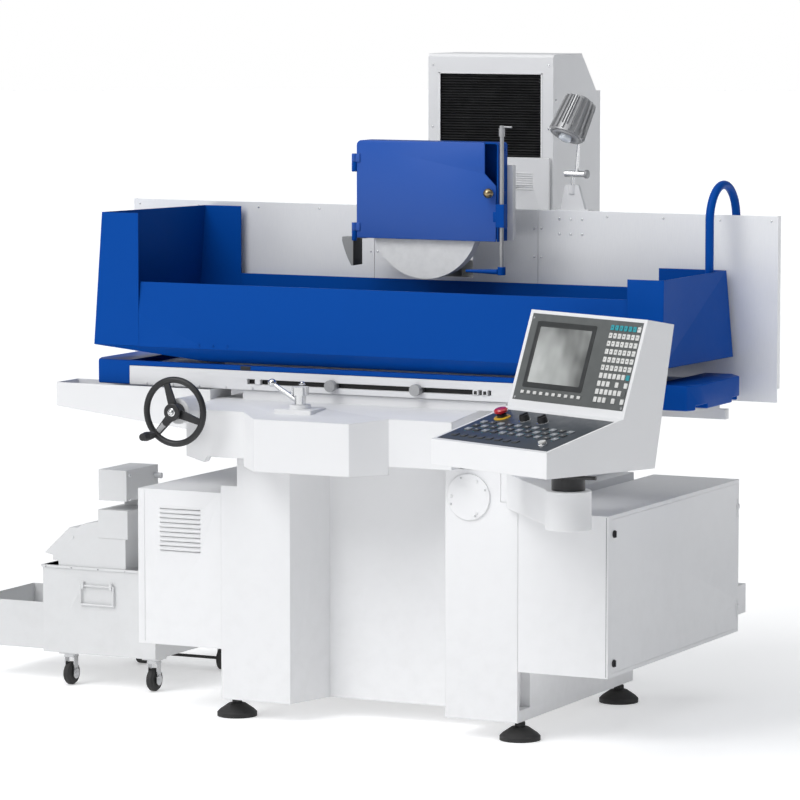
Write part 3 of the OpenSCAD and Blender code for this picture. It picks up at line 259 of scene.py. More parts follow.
M = {
    "cast_white": paint("textured_white_casting", (0.79, 0.792, 0.80), (0.76, 0.762, 0.77), 260.0,
                        0.3, 0.08, (0.42, 0.52), bump=0.22, reach=0.0008, soft_edge=0.004),
    "sheet_white": paint("white_powder_coat", (0.80, 0.802, 0.81), (0.77, 0.773, 0.78), 700.0,
                         0.3, 0.08, (0.36, 0.46), bump=0.10, reach=0.0004, soft_edge=0.002),
    "sheet_grey": paint("light_grey_powder_coat", (0.68, 0.685, 0.69), (0.64, 0.645, 0.65), 700.0,
                        0.3, 0.10, (0.38, 0.5), bump=0.12, reach=0.0004, soft_edge=0.0015),
    "deflector": paint("grey_sheet_paint", (0.30, 0.305, 0.31), (0.25, 0.255, 0.26), 600.0,
                       0.4, 0.1, (0.38, 0.5), bump=0.12, reach=0.0004),
    "blue": paint("blue_powder_coat", (0.0012, 0.066, 0.350), (0.0012, 0.058, 0.315), 620.0,
                  0.3, 0.0, (0.30, 0.38), bump=0.10, reach=0.0003, soft_edge=0.0025,
                  Specular_IOR_Level=0.06),
    "blue_door": paint("blue_gloss_door", (0.016, 0.092, 0.430), (0.013, 0.082, 0.395), 520.0,
                       0.3, 0.0, (0.26, 0.34), bump=0.12, reach=0.0003, soft_edge=0.003,
                       Specular_IOR_Level=0.35),
    "plate": metal("pale_brushed_sheet", (0.88, 0.885, 0.895), (0.83, 0.84, 0.86), (900.0, 900.0, 26.0),
                   (0.30, 0.42), 0.2, bump=0.10, reach=0.0003),
    "steel": metal("ground_steel", (0.60, 0.605, 0.61), (0.47, 0.475, 0.485), (40.0, 900.0, 900.0),
                   (0.20, 0.36), bump=0.10, reach=0.0002),
    "chuck": metal("ground_chuck_face", (0.52, 0.525, 0.53), (0.42, 0.425, 0.43), (30.0, 1100.0, 600.0),
                   (0.22, 0.38), bump=0.12, reach=0.0002),
    "polished": metal("polished_steel", (0.74, 0.745, 0.75), (0.66, 0.665, 0.67), (300.0, 300.0, 300.0),
                      (0.10, 0.20), bump=0.03, reach=0.0001),
    "alloy": metal("satin_cast_alloy", (0.46, 0.462, 0.468), (0.38, 0.383, 0.39), (420.0, 420.0, 420.0),
                   (0.40, 0.54), 0.6, bump=0.15, reach=0.0003),
    "brass": metal("dull_brass", (0.42, 0.33, 0.20), (0.34, 0.26, 0.15), (300.0, 300.0, 300.0),
                   (0.25, 0.4), bump=0.05, reach=0.0002),
    "black": plastic("black_moulded_plastic", (0.012, 0.012, 0.013), (0.022, 0.022, 0.024),
                     bump=0.10, reach=0.0003),
    "rubber": plastic("black_rubber", (0.014, 0.014, 0.014), (0.030, 0.029, 0.028), 600.0,
                      (0.55, 0.75), bump=0.18, reach=0.0004),
    "bellows": plastic("pleated_bellows_cloth", (0.010, 0.010, 0.011), (0.020, 0.020, 0.021), 1500.0,
                       (0.42, 0.6), bump=0.15, reach=0.0003),
    "dark_grey": plastic("dark_grey_plastic", (0.060, 0.063, 0.063), (0.082, 0.085, 0.086), 900.0,
                         (0.32, 0.46), bump=0.08, reach=0.0003),
    "bezel": plastic("grey_bezel_foil", (0.105, 0.112, 0.110), (0.120, 0.127, 0.126), 1400.0,
                     (0.36, 0.46), bump=0.05, reach=0.0002),
    "key_foil": plastic("slate_key_foil", (0.040, 0.050, 0.062), (0.052, 0.062, 0.078), 1400.0,
                        (0.30, 0.42), bump=0.05, reach=0.0002),
    "key_white": plastic("white_key_plastic", (0.72, 0.72, 0.70), (0.62, 0.62, 0.60), 900.0,
                         (0.3, 0.42), bump=0.05, reach=0.0002),
    "key_teal": plastic("teal_key_plastic", (0.03, 0.33, 0.38), (0.025, 0.27, 0.32), 900.0,
                        (0.3, 0.42), bump=0.05, reach=0.0002),
    "soft_key": plastic("grey_key_plastic", (0.30, 0.32, 0.34), (0.25, 0.27, 0.29), 900.0,
                        (0.32, 0.42), bump=0.05, reach=0.0002),
    "bezel_dark": plastic("dark_screen_frame", (0.030, 0.032, 0.032), (0.040, 0.043, 0.043), 1200.0,
                          (0.32, 0.42), bump=0.06, reach=0.0002),
    "seam": paint("shaded_seam", (0.22, 0.22, 0.23), (0.18, 0.18, 0.19), 500.0, 0.2, 0.0, (0.5, 0.6),
                  bump=0.05, reach=0.0002),
    "red": plastic("red_button_plastic", (0.52, 0.012, 0.022), (0.43, 0.010, 0.018), 700.0,
                   (0.16, 0.28), bump=0.04, reach=0.0002, Coat_Weight=0.5),
    "yellow": plastic("yellow_ring_plastic", (0.75, 0.46, 0.03), (0.66, 0.40, 0.03), 700.0,
                      (0.3, 0.4), bump=0.04, reach=0.0002),
    "lens": plastic("frosted_lens", (0.80, 0.84, 0.88), (0.70, 0.75, 0.80), 300.0, (0.08, 0.16),
                    bump=0.15, reach=0.0005, Coat_Weight=0.6),
    "grit": plastic("white_bonded_grit", (0.86, 0.865, 0.87), (0.78, 0.785, 0.79), 1100.0,
                    (0.82, 0.95), bump=0.45, reach=0.0006),
    # near-black colour for thin sheets that stand for painted shade inside grooves and on the spark
    # deflector's inner face
    "painted_shade": paint("painted_recess_shade", (0.012, 0.012, 0.013), (0.020, 0.020, 0.020), 600.0,
                         0.4, 0.0, (0.5, 0.6), bump=0.1, reach=0.0003),
}


def screen_material():
    """Monitor glass: dark grey with soft upright reflections of a bright room, painted by position."""
    m = bpy.data.materials.new("monitor_glass")
    m.use_nodes = True
    w = Wires(m.node_tree)
    bsdf = m.node_tree.nodes["Principled BSDF"]
    uv = w.add("ShaderNodeTexCoord").outputs["UV"]
    blotch = w.noise(w.scaled(uv, (1.5, 0.8, 1.0)), 1.6, 2.0, 0.45)
    sweep = w.add("ShaderNodeSeparateXYZ", {"Vector": uv})
    glow = w.maths("MULTIPLY", w.span(sweep.outputs["X"], 1.0, 0.1), w.span(sweep.outputs["Y"], 1.1, 0.25))
    light = w.maths("ADD", w.maths("MULTIPLY", glow, 0.75), w.span(blotch, 0.35, 0.75, 0.0, 0.45))
    colour = w.mix(light, (0.085, 0.088, 0.085), (0.66, 0.68, 0.66))
    m.node_tree.links.new(colour, bsdf.inputs["Base Color"])
    dusty = w.span(w.noise(uv, 40.0, 3.0, 0.6), 0.3, 0.7, 0.10, 0.16)
    m.node_tree.links.new(dusty, bsdf.inputs["Roughness"])
    bsdf.inputs["Coat Weight"].default_value = 0.7
    return m


M["screen"] = screen_material()


# ---- Mesh tools ------------------------------------------------------------------------

def piece(name, parts, mat, body, uv=None, smooth=40):
    """One object from (points, faces) pairs in millimetres, riding on a body. Edges sharper than
    smooth degrees stay sharp."""
    points, faces, first = [], [], 0
    for p, f in parts:
        points.append(np.asarray(p, float).reshape(-1, 3))
        faces += [[i + first for i in face] for face in f]
        first += len(points[-1])
    mesh = bpy.data.meshes.new(name)
    placed = np.concatenate(points) / 1000 + MACHINE
    mesh.from_pydata(placed.tolist(), [], faces)
    mesh.materials.append(M[mat])
    mesh.polygons.foreach_set("use_smooth", [True] * len(mesh.polygons))
    mesh.set_sharp_from_angle(angle=math.radians(smooth))
    if uv is not None:
        layer = mesh.uv_layers.new(name="UVMap")
        loops = np.empty(len(mesh.loops), int)
        mesh.loops.foreach_get("vertex_index", loops)
        layer.data.foreach_set("uv", np.asarray(uv, float)[loops].ravel())
    mesh.update()
    o = bpy.data.objects.new(name, mesh)
    bpy.context.scene.collection.objects.link(o)
    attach(o, body)
    return o


def grid(points, around=False, caps=False):
    """Faces of an (m, n, 3) grid of points. around joins the last column to the first; caps
    closes the first and last row."""
    m, n = points.shape[:2]
    i = np.arange(m * n).reshape(m, n)
    j = np.concatenate([i, i[:, :1]], 1) if around else i
    quads = np.stack([j[:-1, :-1], j[:-1, 1:], j[1:, 1:], j[1:, :-1]], -1).reshape(-1, 4).tolist()
    if caps:
        quads += [i[0, ::-1].tolist(), i[-1].tolist()]
    return points.reshape(-1, 3), quads


def axes_of(direction):
    """Two unit vectors square to a direction and to each other, right-handed with it."""
    d = np.asarray(direction, float) / np.linalg.norm(direction)
    side = np.cross([0, 0, 1.0], d) if abs(d[2]) < 0.9 else np.array([1.0, 0, 0])
    side = side - d * side.dot(d)
    side /= np.linalg.norm(side)
    return side, np.cross(d, side), d


def turned(profile, at, direction, n=40):
    """Surface of revolution: each profile point (radius, height) goes round the axis through at."""
    side, up, d = axes_of(direction)
    a = np.arange(n) / n * TAU
    r, h = np.asarray(profile, float).T
    ring = np.cos(a)[:, None] * side + np.sin(a)[:, None] * up
    points = np.asarray(at, float) + r[:, None, None] * ring[None] + h[:, None, None] * d
    return grid(points, around=True, caps=True)


def rod(start, end, radius, soft=0.0, n=32):
    """Round bar between two points with softened rims."""
    start, end = np.asarray(start, float), np.asarray(end, float)
    length = np.linalg.norm(end - start)
    s = max(soft, 0.01)
    profile = [(radius - s, 0), (radius - 0.3 * s, 0.3 * s), (radius, s), (radius, length - s),
               (radius - 0.3 * s, length - 0.3 * s), (radius - s, length)]
    return turned(profile, start, end - start, n)


def round_outline(corners, radius, steps=5):
    """Closed outline through the corners (anticlockwise) with each one rounded by an arc."""
    c = np.asarray(corners, float)
    radius = np.broadcast_to(radius, len(c))
    out = []
    for k in range(len(c)):
        a, b, d = c[k - 1], c[k], c[(k + 1) % len(c)]
        u, v = (a - b) / np.linalg.norm(a - b), (d - b) / np.linalg.norm(d - b)
        half = math.acos(max(-1, min(1, u.dot(v)))) / 2
        if radius[k] <= 0 or half > math.radians(88):
            out.append(b[None])
            continue
        reach = min(radius[k] / math.tan(half), 0.49 * np.linalg.norm(a - b), 0.49 * np.linalg.norm(d - b))
        r = reach * math.tan(half)
        centre = b + (u + v) / np.linalg.norm(u + v) * r / math.sin(half)
        s, e = b + u * reach - centre, b + v * reach - centre
        start = math.atan2(s[1], s[0])
        swing = (math.atan2(e[1], e[0]) - start + math.pi) % TAU - math.pi
        angle = start + swing * np.linspace(0, 1, steps)
        out.append(centre + r * np.stack([np.cos(angle), np.sin(angle)], 1))
    return np.concatenate(out)


def inward(outline, t):
    """Anticlockwise outline moved inwards by t, each point along the mean of its sides' normals."""
    p = np.asarray(outline, float)
    a, b = p - np.roll(p, 1, 0), np.roll(p, -1, 0) - p
    na = np.stack([-a[:, 1], a[:, 0]], 1) / np.linalg.norm(a, axis=1)[:, None]
    nb = np.stack([-b[:, 1], b[:, 0]], 1) / np.linalg.norm(b, axis=1)[:, None]
    m = na + nb
    return p + m * (2 * t / np.maximum((m * m).sum(1), 0.5))[:, None]


def slab(outline, low, high, soft, at=(0, 0, 0), side=(1, 0, 0), up=(0, 1, 0), steps=3):
    """Solid with the given outline in the side and up plane and softened rims, from low to high
    along their cross product."""
    side, up = np.asarray(side, float), np.asarray(up, float)
    d = np.cross(side, up)
    a = np.linspace(0, math.pi / 2, steps)
    levels = [(low + soft * (1 - math.cos(t)), soft * (1 - math.sin(t))) for t in a]
    levels += [(high - soft * (1 - math.cos(t)), soft * (1 - math.sin(t))) for t in a[::-1]]
    rings = []
    for h, t in levels:
        o = inward(outline, t) if t > 0 else np.asarray(outline, float)
        rings.append(np.asarray(at, float) + o[:, :1] * side + o[:, 1:] * up + h * d)
    return grid(np.array(rings), around=True, caps=True)


def block(lo, hi, soft=1.0, corner=None):
    """Box with softened edges, standing along Z."""
    o = round_outline([(lo[0], lo[1]), (hi[0], lo[1]), (hi[0], hi[1]), (lo[0], hi[1])],
                      soft if corner is None else corner, 4)
    return slab(o, lo[2], hi[2], soft)


def screw(at, direction, d, h=1.8, n=16):
    """Low button head with a hexagon socket sunk into it."""
    r = d / 2
    profile = [(r, 0), (r, 0.35 * h), (0.86 * r, 0.8 * h), (0.6 * r, h), (0.42 * r, h), (0.38 * r, 0.35 * h)]
    return turned(profile, at, direction, n)


def cap_screw(at, direction, d, h):
    """Cylinder-head screw with a deep socket."""
    r = d / 2
    profile = [(r, 0), (r, 0.88 * h), (0.9 * r, h), (0.55 * r, h), (0.52 * r, 0.5 * h)]
    return turned(profile, at, direction, 20)


def softened(node, width, mat, join=0.00002):
    """Copy of a CAD node with doubles merged and flat faces joined, its edges rounded by a bevel
    of the given width in millimetres. It stands for the node."""
    source = frame["nodes"][node]
    mesh = source.data.copy()
    mesh.name = node + "_soft"
    bm = bmesh.new()
    bm.from_mesh(mesh)
    bmesh.ops.remove_doubles(bm, verts=bm.verts, dist=join)
    bmesh.ops.dissolve_limit(bm, angle_limit=math.radians(0.6), verts=bm.verts, edges=bm.edges)
    bm.to_mesh(mesh)
    bm.free()
    mesh.materials.clear()
    mesh.materials.append(M[mat])
    mesh.polygons.foreach_set("use_smooth", [True] * len(mesh.polygons))
    mesh.set_sharp_from_angle(angle=math.radians(30))
    o = bpy.data.objects.new(node + "_soft", mesh)
    bpy.context.scene.collection.objects.link(o)
    bevel = o.modifiers.new("edges", "BEVEL")
    bevel.width = width / 1000
    bevel.segments = 2
    bevel.limit_method = "ANGLE"
    bevel.angle_limit = math.radians(32)
    bevel.use_clamp_overlap = True
    bevel.harden_normals = True
    bevel.miter_outer = "MITER_ARC"
    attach(o, source["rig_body"])
    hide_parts(node)
    return o


def finish_node(node, mat):
    """Gives a CAD node's own object a material in each of its slots."""
    o = frame["nodes"][node]
    if not o.material_slots:
        o.data.materials.append(M[mat])
    for s in o.material_slots:
        s.material = M[mat]
    return o


NODE_FINISH = {
    "base_casting": "cast_white", "levelling_feet": "rubber", "inspection_cover": "cast_white",
    "left_cabinet": "sheet_white", "right_cabinet": "sheet_white", "guideways": "steel",
    "column": "cast_white", "column_cover": "sheet_white", "console_bracket": "cast_white",
    "console_collar": "black", "hydraulic_unit": "sheet_grey", "cabinet_door": "sheet_white",
    "latch_upper": "black", "latch_lower": "black", "cross_screw": "steel", "elevation_screw": "steel",
    "saddle": "cast_white", "splash_plate": "plate", "left_trough": "sheet_white",
    "lamp_bracket": "sheet_white", "speed_lever": "polished", "handwheel": "black",
    "crank_grip": "black", "table": "cast_white", "magnetic_chuck": "chuck", "tray_pan": "blue",
    "left_hood": "blue", "right_hood": "blue", "end_covers": "blue", "conduit_arch": "blue",
    "dog_left": "alloy", "dog_right": "alloy", "head_slide": "cast_white",
    "guard_shell": "blue", "spark_deflector": "deflector", "coolant_post": "alloy",
    "coolant_nozzle": "blue", "upper_bellows": "bellows", "guard_door": "blue_door",
    "door_knob": "brass", "coolant_tap": "alloy", "spindle": "steel", "grinding_wheel": "grit",
    "console_shell": "sheet_white", "console_panel": "bezel", "e_stop": "red", "feed_knob": "black",
    "mode_knob": "black", "cycle_button": "key_white", "console_clamp": "black",
    "lamp_arm": "polished", "lamp_head": "alloy", "coolant_tank": "sheet_grey",
    "separator": "sheet_grey", "tank_handle": "sheet_grey", "caster_fork_1": "steel",
    "caster_fork_2": "steel", "caster_wheel_1": "rubber", "caster_wheel_2": "rubber",
    "rear_wheels": "rubber",
}
for node_name, mat_name in NODE_FINISH.items():
    finish_node(node_name, mat_name)

# Castings have wide soft edges, folded sheet narrow ones
for node_name, width in {
    "base_casting": 5.0, "saddle": 4.0, "table": 2.0, "console_bracket": 4.0, "column_cover": 5.0,
    "left_cabinet": 2.0, "right_cabinet": 3.0, "cabinet_door": 1.0, "head_slide": 2.0,
    "splash_plate": 1.0, "left_trough": 0.8, "lamp_bracket": 1.5, "tray_pan": 1.2,
    "end_covers": 4.0, "console_shell": 3.0, "coolant_tank": 1.5,
    "separator": 2.0, "inspection_cover": 1.5, "coolant_nozzle": 1.5, "magnetic_chuck": 1.0,
}.items():
    softened(node_name, width, NODE_FINISH[node_name])


# ---- Bellows above the head ---------------------------------------------------------------

def bellows():
    """Pleated cloth that folds between the head and the top of the window: its depth is a
    triangle wave of its height, each fold's tip a little rounded and set at its own depth."""
    lo, hi = box_mm("upper_bellows")
    folds, per_fold = 31, 8
    rng = np.random.default_rng(4)
    phase = np.linspace(0, folds, folds * per_fold + 1)
    saw = np.abs(phase % 1 - 0.5) * 2
    soft_tip = 0.5 - 0.5 * np.cos(np.pi * saw)
    tip = np.interp(phase, np.arange(folds + 1), rng.uniform(-0.8, 0.8, folds + 1))
    y = lo[1] + 1.2 + 7.0 * soft_tip + tip
    z = np.linspace(lo[2] + 0.5, hi[2] - 0.5, len(phase))
    x = np.linspace(lo[0], hi[0], 41)
    bow = 0.7 * np.sin(np.linspace(0, 3 * np.pi, len(x)))[None] * rng.uniform(-1, 1, folds + 1)[
        np.minimum(phase.astype(int), folds)][:, None]
    front = np.stack(np.broadcast_arrays(x[None], y[:, None] + bow * 0.6, z[:, None] + bow), -1)
    back = np.array(front)
    back[..., 1] = hi[1]
    shell = np.concatenate([front, back[:, ::-1]], 1)
    o = piece("bellows_cloth", [grid(shell, around=True, caps=True)], "bellows", "head",
              smooth=70)
    o.parent = None
    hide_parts("upper_bellows")
    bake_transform(o)


bellows()


# ---- Console ------------------------------------------------------------------------------

POST = np.array([787.0, -730.0, 852.0])
CONSOLE_TURN, CONSOLE_LEFT, CONSOLE_REACH = -23.6, 313, 233


def console_frame(run_y, run_z, tilt):
    """Origin, right and up-slope vectors of one of the console's two sloped faces, in mm."""
    turn, slope = math.radians(CONSOLE_TURN), math.radians(tilt)
    right = np.array([math.cos(turn), math.sin(turn), 0.0])
    away = np.array([-math.sin(turn), math.cos(turn), 0.0])
    origin = POST - CONSOLE_LEFT * right + (run_y - CONSOLE_REACH) * away
    origin[2] += run_z
    return origin, right, math.cos(slope) * away + np.array([0, 0, math.sin(slope)])


def tile(frame_of, u, v, low, high, soft=0.5, corner=1.5):
    """Soft-edged plate between two pairs of distances on a sloped face."""
    at, side, up = frame_of
    o = round_outline([(u[0], v[0]), (u[1], v[0]), (u[1], v[1]), (u[0], v[1])], corner, 4)
    return slab(o, low, high, soft, at, side, up)


def disc(frame_of, u, v, profile, n=36):
    """Turned part standing on a sloped face."""
    at, side, up = frame_of
    return turned(profile, at + u * side + v * up, np.cross(side, up), n)


def console_details():
    keys = console_frame(0, 72, 14.3656)
    screen = console_frame(285, 145, 71.3745)
    rng = np.random.default_rng(11)
    piece("key_foil_face", [tile(keys, (11, 467), (13, 269), -1, 0.5, 0.3, 4)], "key_foil", "console")
    legend, white_cells, dark_cells = [], [], []
    for row in range(4):
        for col in range(11):
            u, v = 40 + 36 * col, 90 + 30 * row
            if row < 3:
                white_cells.append(tile(keys, (u - 0.4, u + 20.4), (v - 0.4, v + 16.4),
                                        0.3, 3.4, 0.8, 2.5))
                legend.append(tile(keys, (u + 4, u + 4 + rng.uniform(5, 11)), (v + 7, v + 9.5),
                                   3.0, 3.55, 0.1, 0.5))
    for col in range(8):
        u = 40 + 36 * col
        dark_cells.append(tile(keys, (u - 0.4, u + 20.4), (39.6, 56.4), 0.3, 3.4, 0.8, 2.5))
    piece("key_caps_grey", white_cells[::2] + white_cells[5:6], "soft_key", "console")
    piece("key_caps_dark", dark_cells + white_cells[1::2], "dark_grey", "console")
    piece("key_legends", legend, "key_white", "console")
    # light marks between the rows
    dots = [disc(keys, 50 + 36 * c, 84 + 30 * r, [(1.6, 0.3), (1.6, 0.9), (0.8, 1.2)], 12)
            for r in range(3) for c in range(11)]
    piece("key_lamps", dots, "key_teal", "console")
    # frame round the glass and the glass itself
    outer = round_outline([(40, 60), (287, 60), (287, 254), (40, 254)], 6, 6)
    inner = round_outline([(56, 76), (271, 76), (271, 238), (56, 238)], 3, 6)
    at, side, up = screen
    out = np.cross(side, up)
    rows = []
    for o, h in ((outer, 0.0), (inward(outer, 0.8), 1.4), (inward(outer, 4), 2.0), (inward(inner, -3), 2.0),
                 (inward(inner, -0.8), 1.2), (inner, -0.9)):
        rows.append(at + o[:, :1] * side + o[:, 1:] * up + h * out)
    piece("screen_frame", [grid(np.array(rows)[::-1], around=True)], "bezel_dark", "console")
    glass = tile(screen, (54.5, 272.5), (74.5, 239.5), -0.9, -0.2, 0.1, 1)
    local = (glass[0] - at) @ np.stack([side, up], 1)
    piece("screen_glass", [glass], "screen", "console",
          uv=(local - [54.5, 74.5]) / [218.0, 165.0])
    whites, teals = [], []
    for col in range(7):
        for row in range(10):
            if (row in (0, 2) and col in (3, 5)) or (row == 1 and col == 6):
                continue
            u, v = 344 + 18 * col, 40 + 23 * row
            cell = tile(screen, (u - 0.5, u + 12.5), (v - 0.5, v + 14.5), 0.1, 3.0, 0.7, 1.6)
            teal = (row == 9 and col < 6) or (row == 3 and col == 6)
            (teals if teal else whites).append(cell)
    for col in range(10):
        whites.append(tile(screen, (41.5 + 26 * col, 54.5 + 26 * col), (41.5, 50.5), 0.1, 3.0, 0.7, 1.6))
    piece("screen_keys_white", whites, "key_white", "console")
    piece("screen_keys_teal", teals, "key_teal", "console")
    marks = [tile(screen, (347 + 18 * c, 347 + 18 * c + rng.uniform(3, 6)), (46 + 23 * r, 48.4 + 23 * r),
                  2.7, 3.15, 0.1, 0.4) for r in range(4, 10) for c in range(7)]
    piece("screen_key_marks", marks, "dark_grey", "console")
    # stop button on its ring, knobs and the white button
    piece("e_stop_ring", [disc(keys, 75, 205, [(24, 0.2), (24, 2.5), (22, 3.6), (17, 3.8)])], "yellow",
          "console")
    piece("e_stop_collar", [disc(keys, 75, 205, [(14, 3.0), (14, 11), (12.5, 12.5), (10, 12.8)])], "black",
          "console")
    for n, (u, v) in enumerate(((170, 205), (245, 205))):
        piece(f"knob_ring_{n}", [disc(keys, u, v, [(18, 0.2), (18, 1.2), (17, 1.8), (15, 1.9)])],
              "polished", "console")
    piece("button_ring", [disc(keys, 410, 50, [(13.5, 0.2), (13.5, 5), (12.5, 6.5), (9, 7)])], "polished",
          "console")
    corners = [(20, 30), (460, 30), (20, 262), (460, 262)]
    piece("screen_screws", [disc(screen, u, v, [(4, 0), (4, 0.8), (3.4, 1.5), (1.6, 1.5), (1.4, 0.5)], 14)
                            for u, v in corners], "polished", "console")


console_details()


# ---- Table and chuck ------------------------------------------------------------------------

TABLE_FACE = -300.0


def table_details():
    """Painted shade as thin dark sheets in the groove for the reversing dogs and on its end blocks, screws,
    and the chuck's front groove and lines drawn as dark strips of painted shade.
    """
    lo, hi = box_mm("magnetic_chuck")
    front = lo[1]
    # the chuck's front groove and line are dark strips of painted shade
    groove = block((lo[0] + 12, front - 0.6, hi[2] - 62), (hi[0] - 12, front + 0.2, hi[2] - 50), 0.2)
    line = block((lo[0] + 2, front - 0.4, hi[2] - 22), (hi[0] - 2, front + 0.2, hi[2] - 20.5), 0.2)
    piece("chuck_front_groove_shade", [groove, line], "painted_shade", "table")
    screws = [cap_screw((x, front + 0.1, hi[2] - 75), (0, -1, 0), 10, 3) for x in np.linspace(-640, 640, 9)]
    piece("chuck_screws", screws, "polished", "table")
    low = box_mm("table")[0][2]
    face = TABLE_FACE
    # dark sheets of painted shade on the back and upper faces of the dog groove
    groove_shade = [block((-451, face + 13, low + 18), (349, face + 15.8, low + 32), 0.3),
             block((-451, face + 2, low + 31), (349, face + 15, low + 32.3), 0.3)]
    piece("dog_groove_painted_shade", groove_shade, "painted_shade", "table")
    # small dark marks of painted shade at the groove's ends
    ends = [block((x + 4, face - 3.6, low + 20), (x + 14, face - 2.8, low + 30), 0.3, 1) for x in (292, 322)]
    piece("groove_end_painted_shade", ends, "painted_shade", "table")
    rail = block((-475, face - 1.2, low + 59), (-441, face + 0.4, low + 71), 0.4, 2)
    piece("rail_stop_block", [rail], "black", "table")


def hub_cap(at, direction, r):
    """Domed nut on a washer."""
    return [turned([(r * 1.5, 0), (r * 1.5, 1.6), (r * 1.4, 2.0), (r, 2.0)], at, direction),
            turned([(r, 2.0), (r, 6.0), (r * 0.82, 8.2), (r * 0.45, 9.6), (r * 0.1, 10.0)],
                   at, direction, 24)]


def hand_details():
    hub = np.array([-555.0, -560.0, 931.0])
    piece("handwheel_nut", hub_cap(hub + [0, -21, 0], (0, -1, 0), 8), "polished", "handwheel")
    spoke = math.radians(228)
    along = np.array([math.cos(spoke), 0, math.sin(spoke)])
    bar = slab(round_outline([(26, -9.5), (82, -7), (82, 7), (26, 9.5)], 2, 3), 4.2, 5.4, 0.4, hub, along,
               np.cross([0, -1, 0], along))
    piece("handwheel_spoke_face", [bar], "alloy", "handwheel")
    ring = turned([(26, 0), (26, 3), (24.5, 4.5), (22, 4.8)], hub + [0, -17, 0], (0, -1, 0))
    piece("handwheel_hub_ring", [ring], "black", "handwheel")
    lever = np.array([-207.0, -430.0, 1000.0])
    high = box_mm("speed_lever")[1]
    ball = np.array([-300.0, -430.0, 1016.0])
    arc = np.linspace(-math.pi / 2 + 0.05, math.pi / 2 - 0.05, 20)
    shape = np.stack([12.6 * np.cos(arc), 12.6 * np.sin(arc)], 1)
    piece("lever_ball", [turned(shape, ball, (0, 0, 1), 32)], "polished", "speed_lever")
    piece("lever_hub_cap", hub_cap(lever + [7, 0, min(high[2] - 1000, 16) - 1], (0, 0, 1), 7), "polished",
          "speed_lever")


GUARD_X, GUARD_H, GUARD_DROP = (-218.0, 248.0), 293, 59


def guard_details():
    """Guard shell and its front door with rounded top corners, hinge leaves and knuckles, a thin black sheet
    of painted shade on the spark deflector's inner face, and the side screws."""
    left, right = GUARD_X
    top = box_mm("guard_shell")[1][2]
    low = top - GUARD_H
    o = round_outline([(left, low), (right - 5, low), (right - 5, low + 165), (right - 42, low + 201),
                       (right - 42, top), (left, top)], [3, 3, 8, 8, 5, 16], 8)
    parts = [slab(o, 34.0, 38.0, 1.2, (0, 0, 0), (1, 0, 0), (0, 0, 1))]
    hinge_x = left - 8
    for z in (low + 20.3, top - 65.7):
        parts.append(block((hinge_x, -41, z), (left + 12, -37, z + 25), 0.6))
        parts.append(rod((hinge_x, -37, z), (hinge_x, -37, z + 25), 8, 0.8))
    door = piece("guard_door_sheet", parts, "blue_door", "guard_door")
    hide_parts("guard_door")
    wall = 4.0
    outer = round_outline([(left, low), (right, low), (right, top), (left, top)], [0, 0, 10, 16], 8)
    first = int(np.argmin(np.abs(outer - [right, low]).sum(1)))
    outer = np.roll(outer, -first, 0)
    inner = inward(outer, wall)
    inner[[0, -1], 1] = low
    bow = np.concatenate([outer, inner[::-1]])
    hoop = slab(bow, -31.0, 33.7, 0.0, (0, 0, 0), (1, 0, 0), (0, 0, 1))
    a = np.arange(64) / 64 * TAU
    ray = np.stack([np.cos(a), np.sin(a)], 1)
    middle = np.array([0.0, low + GUARD_DROP])
    reach = np.minimum(np.where(ray[:, 0] > 0, right - 2, 2 - left) / np.maximum(np.abs(ray[:, 0]), 1e-9),
                       np.where(ray[:, 1] > 0, 232.0, 59.0) / np.maximum(np.abs(ray[:, 1]), 1e-9))
    rings = []
    for r, y in ((55 + 0 * reach, 27), (reach, 27), (reach, 31), (55 + 0 * reach, 31)):
        o = middle + ray * r[:, None]
        rings.append(np.stack([o[:, 0], 0 * a + y, o[:, 1]], 1))
    back = grid(np.array(rings + rings[:1]), around=True)
    joints = [hoop, back, block((right - 4, -62, low + 60), (right + 10, -12, low + 90), 1.0)]
    for z in (low - 9, top - 95):
        joints.append(rod((hinge_x, -37, z), (hinge_x, -37, z + 29), 8, 0.8))
        joints.append(rod((hinge_x, -37, z + 29), (hinge_x, -37, z + 54), 3, 0.5, 20))
        joints.append(block((hinge_x, -34, max(z, low)), (left + 12, -29, z + 29), 0.6))
    body = piece("guard_shell_sheet", joints, "blue", "head")
    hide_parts("guard_shell")
    # thin black sheet on the deflector's inner face: painted shade
    shade = block((-239.1, -19.4, low - 85.5), (-238.1, 40, low - 0.5), 0.2)
    piece("deflector_painted_shade", [shade], "painted_shade", "head")
    side = [screw((right + 0.1, y, z), (1, 0, 0), 9, 1.8) for y in (-20, 16)
            for z in (low + 30, low + 150, top - 24)]
    piece("guard_side_screws", side, "blue", "head")


def plate_details():
    """Screws down the seams of the splash plate and round the lamp's bracket."""
    lo, hi = box_mm("splash_plate")
    screws = [screw((x, lo[1] + 0.1, z), (0, -1, 0), 7, 1.4) for x in (-264, -241, 283, 306)
              for z in (1280, 1370, 1455)]
    screws += [screw((x, lo[1] + 0.1, z), (0, -1, 0), 8, 1.6) for x in (365, 402, 439) for z in (1440, 1485)]
    screws += [screw((x, lo[1] + 0.1, hi[2] - 16), (0, -1, 0), 7, 1.4)
               for x in (-1070, -860, -650, -440, 520, 700, 880, 1042)]
    piece("plate_screws", screws, "polished", "saddle")


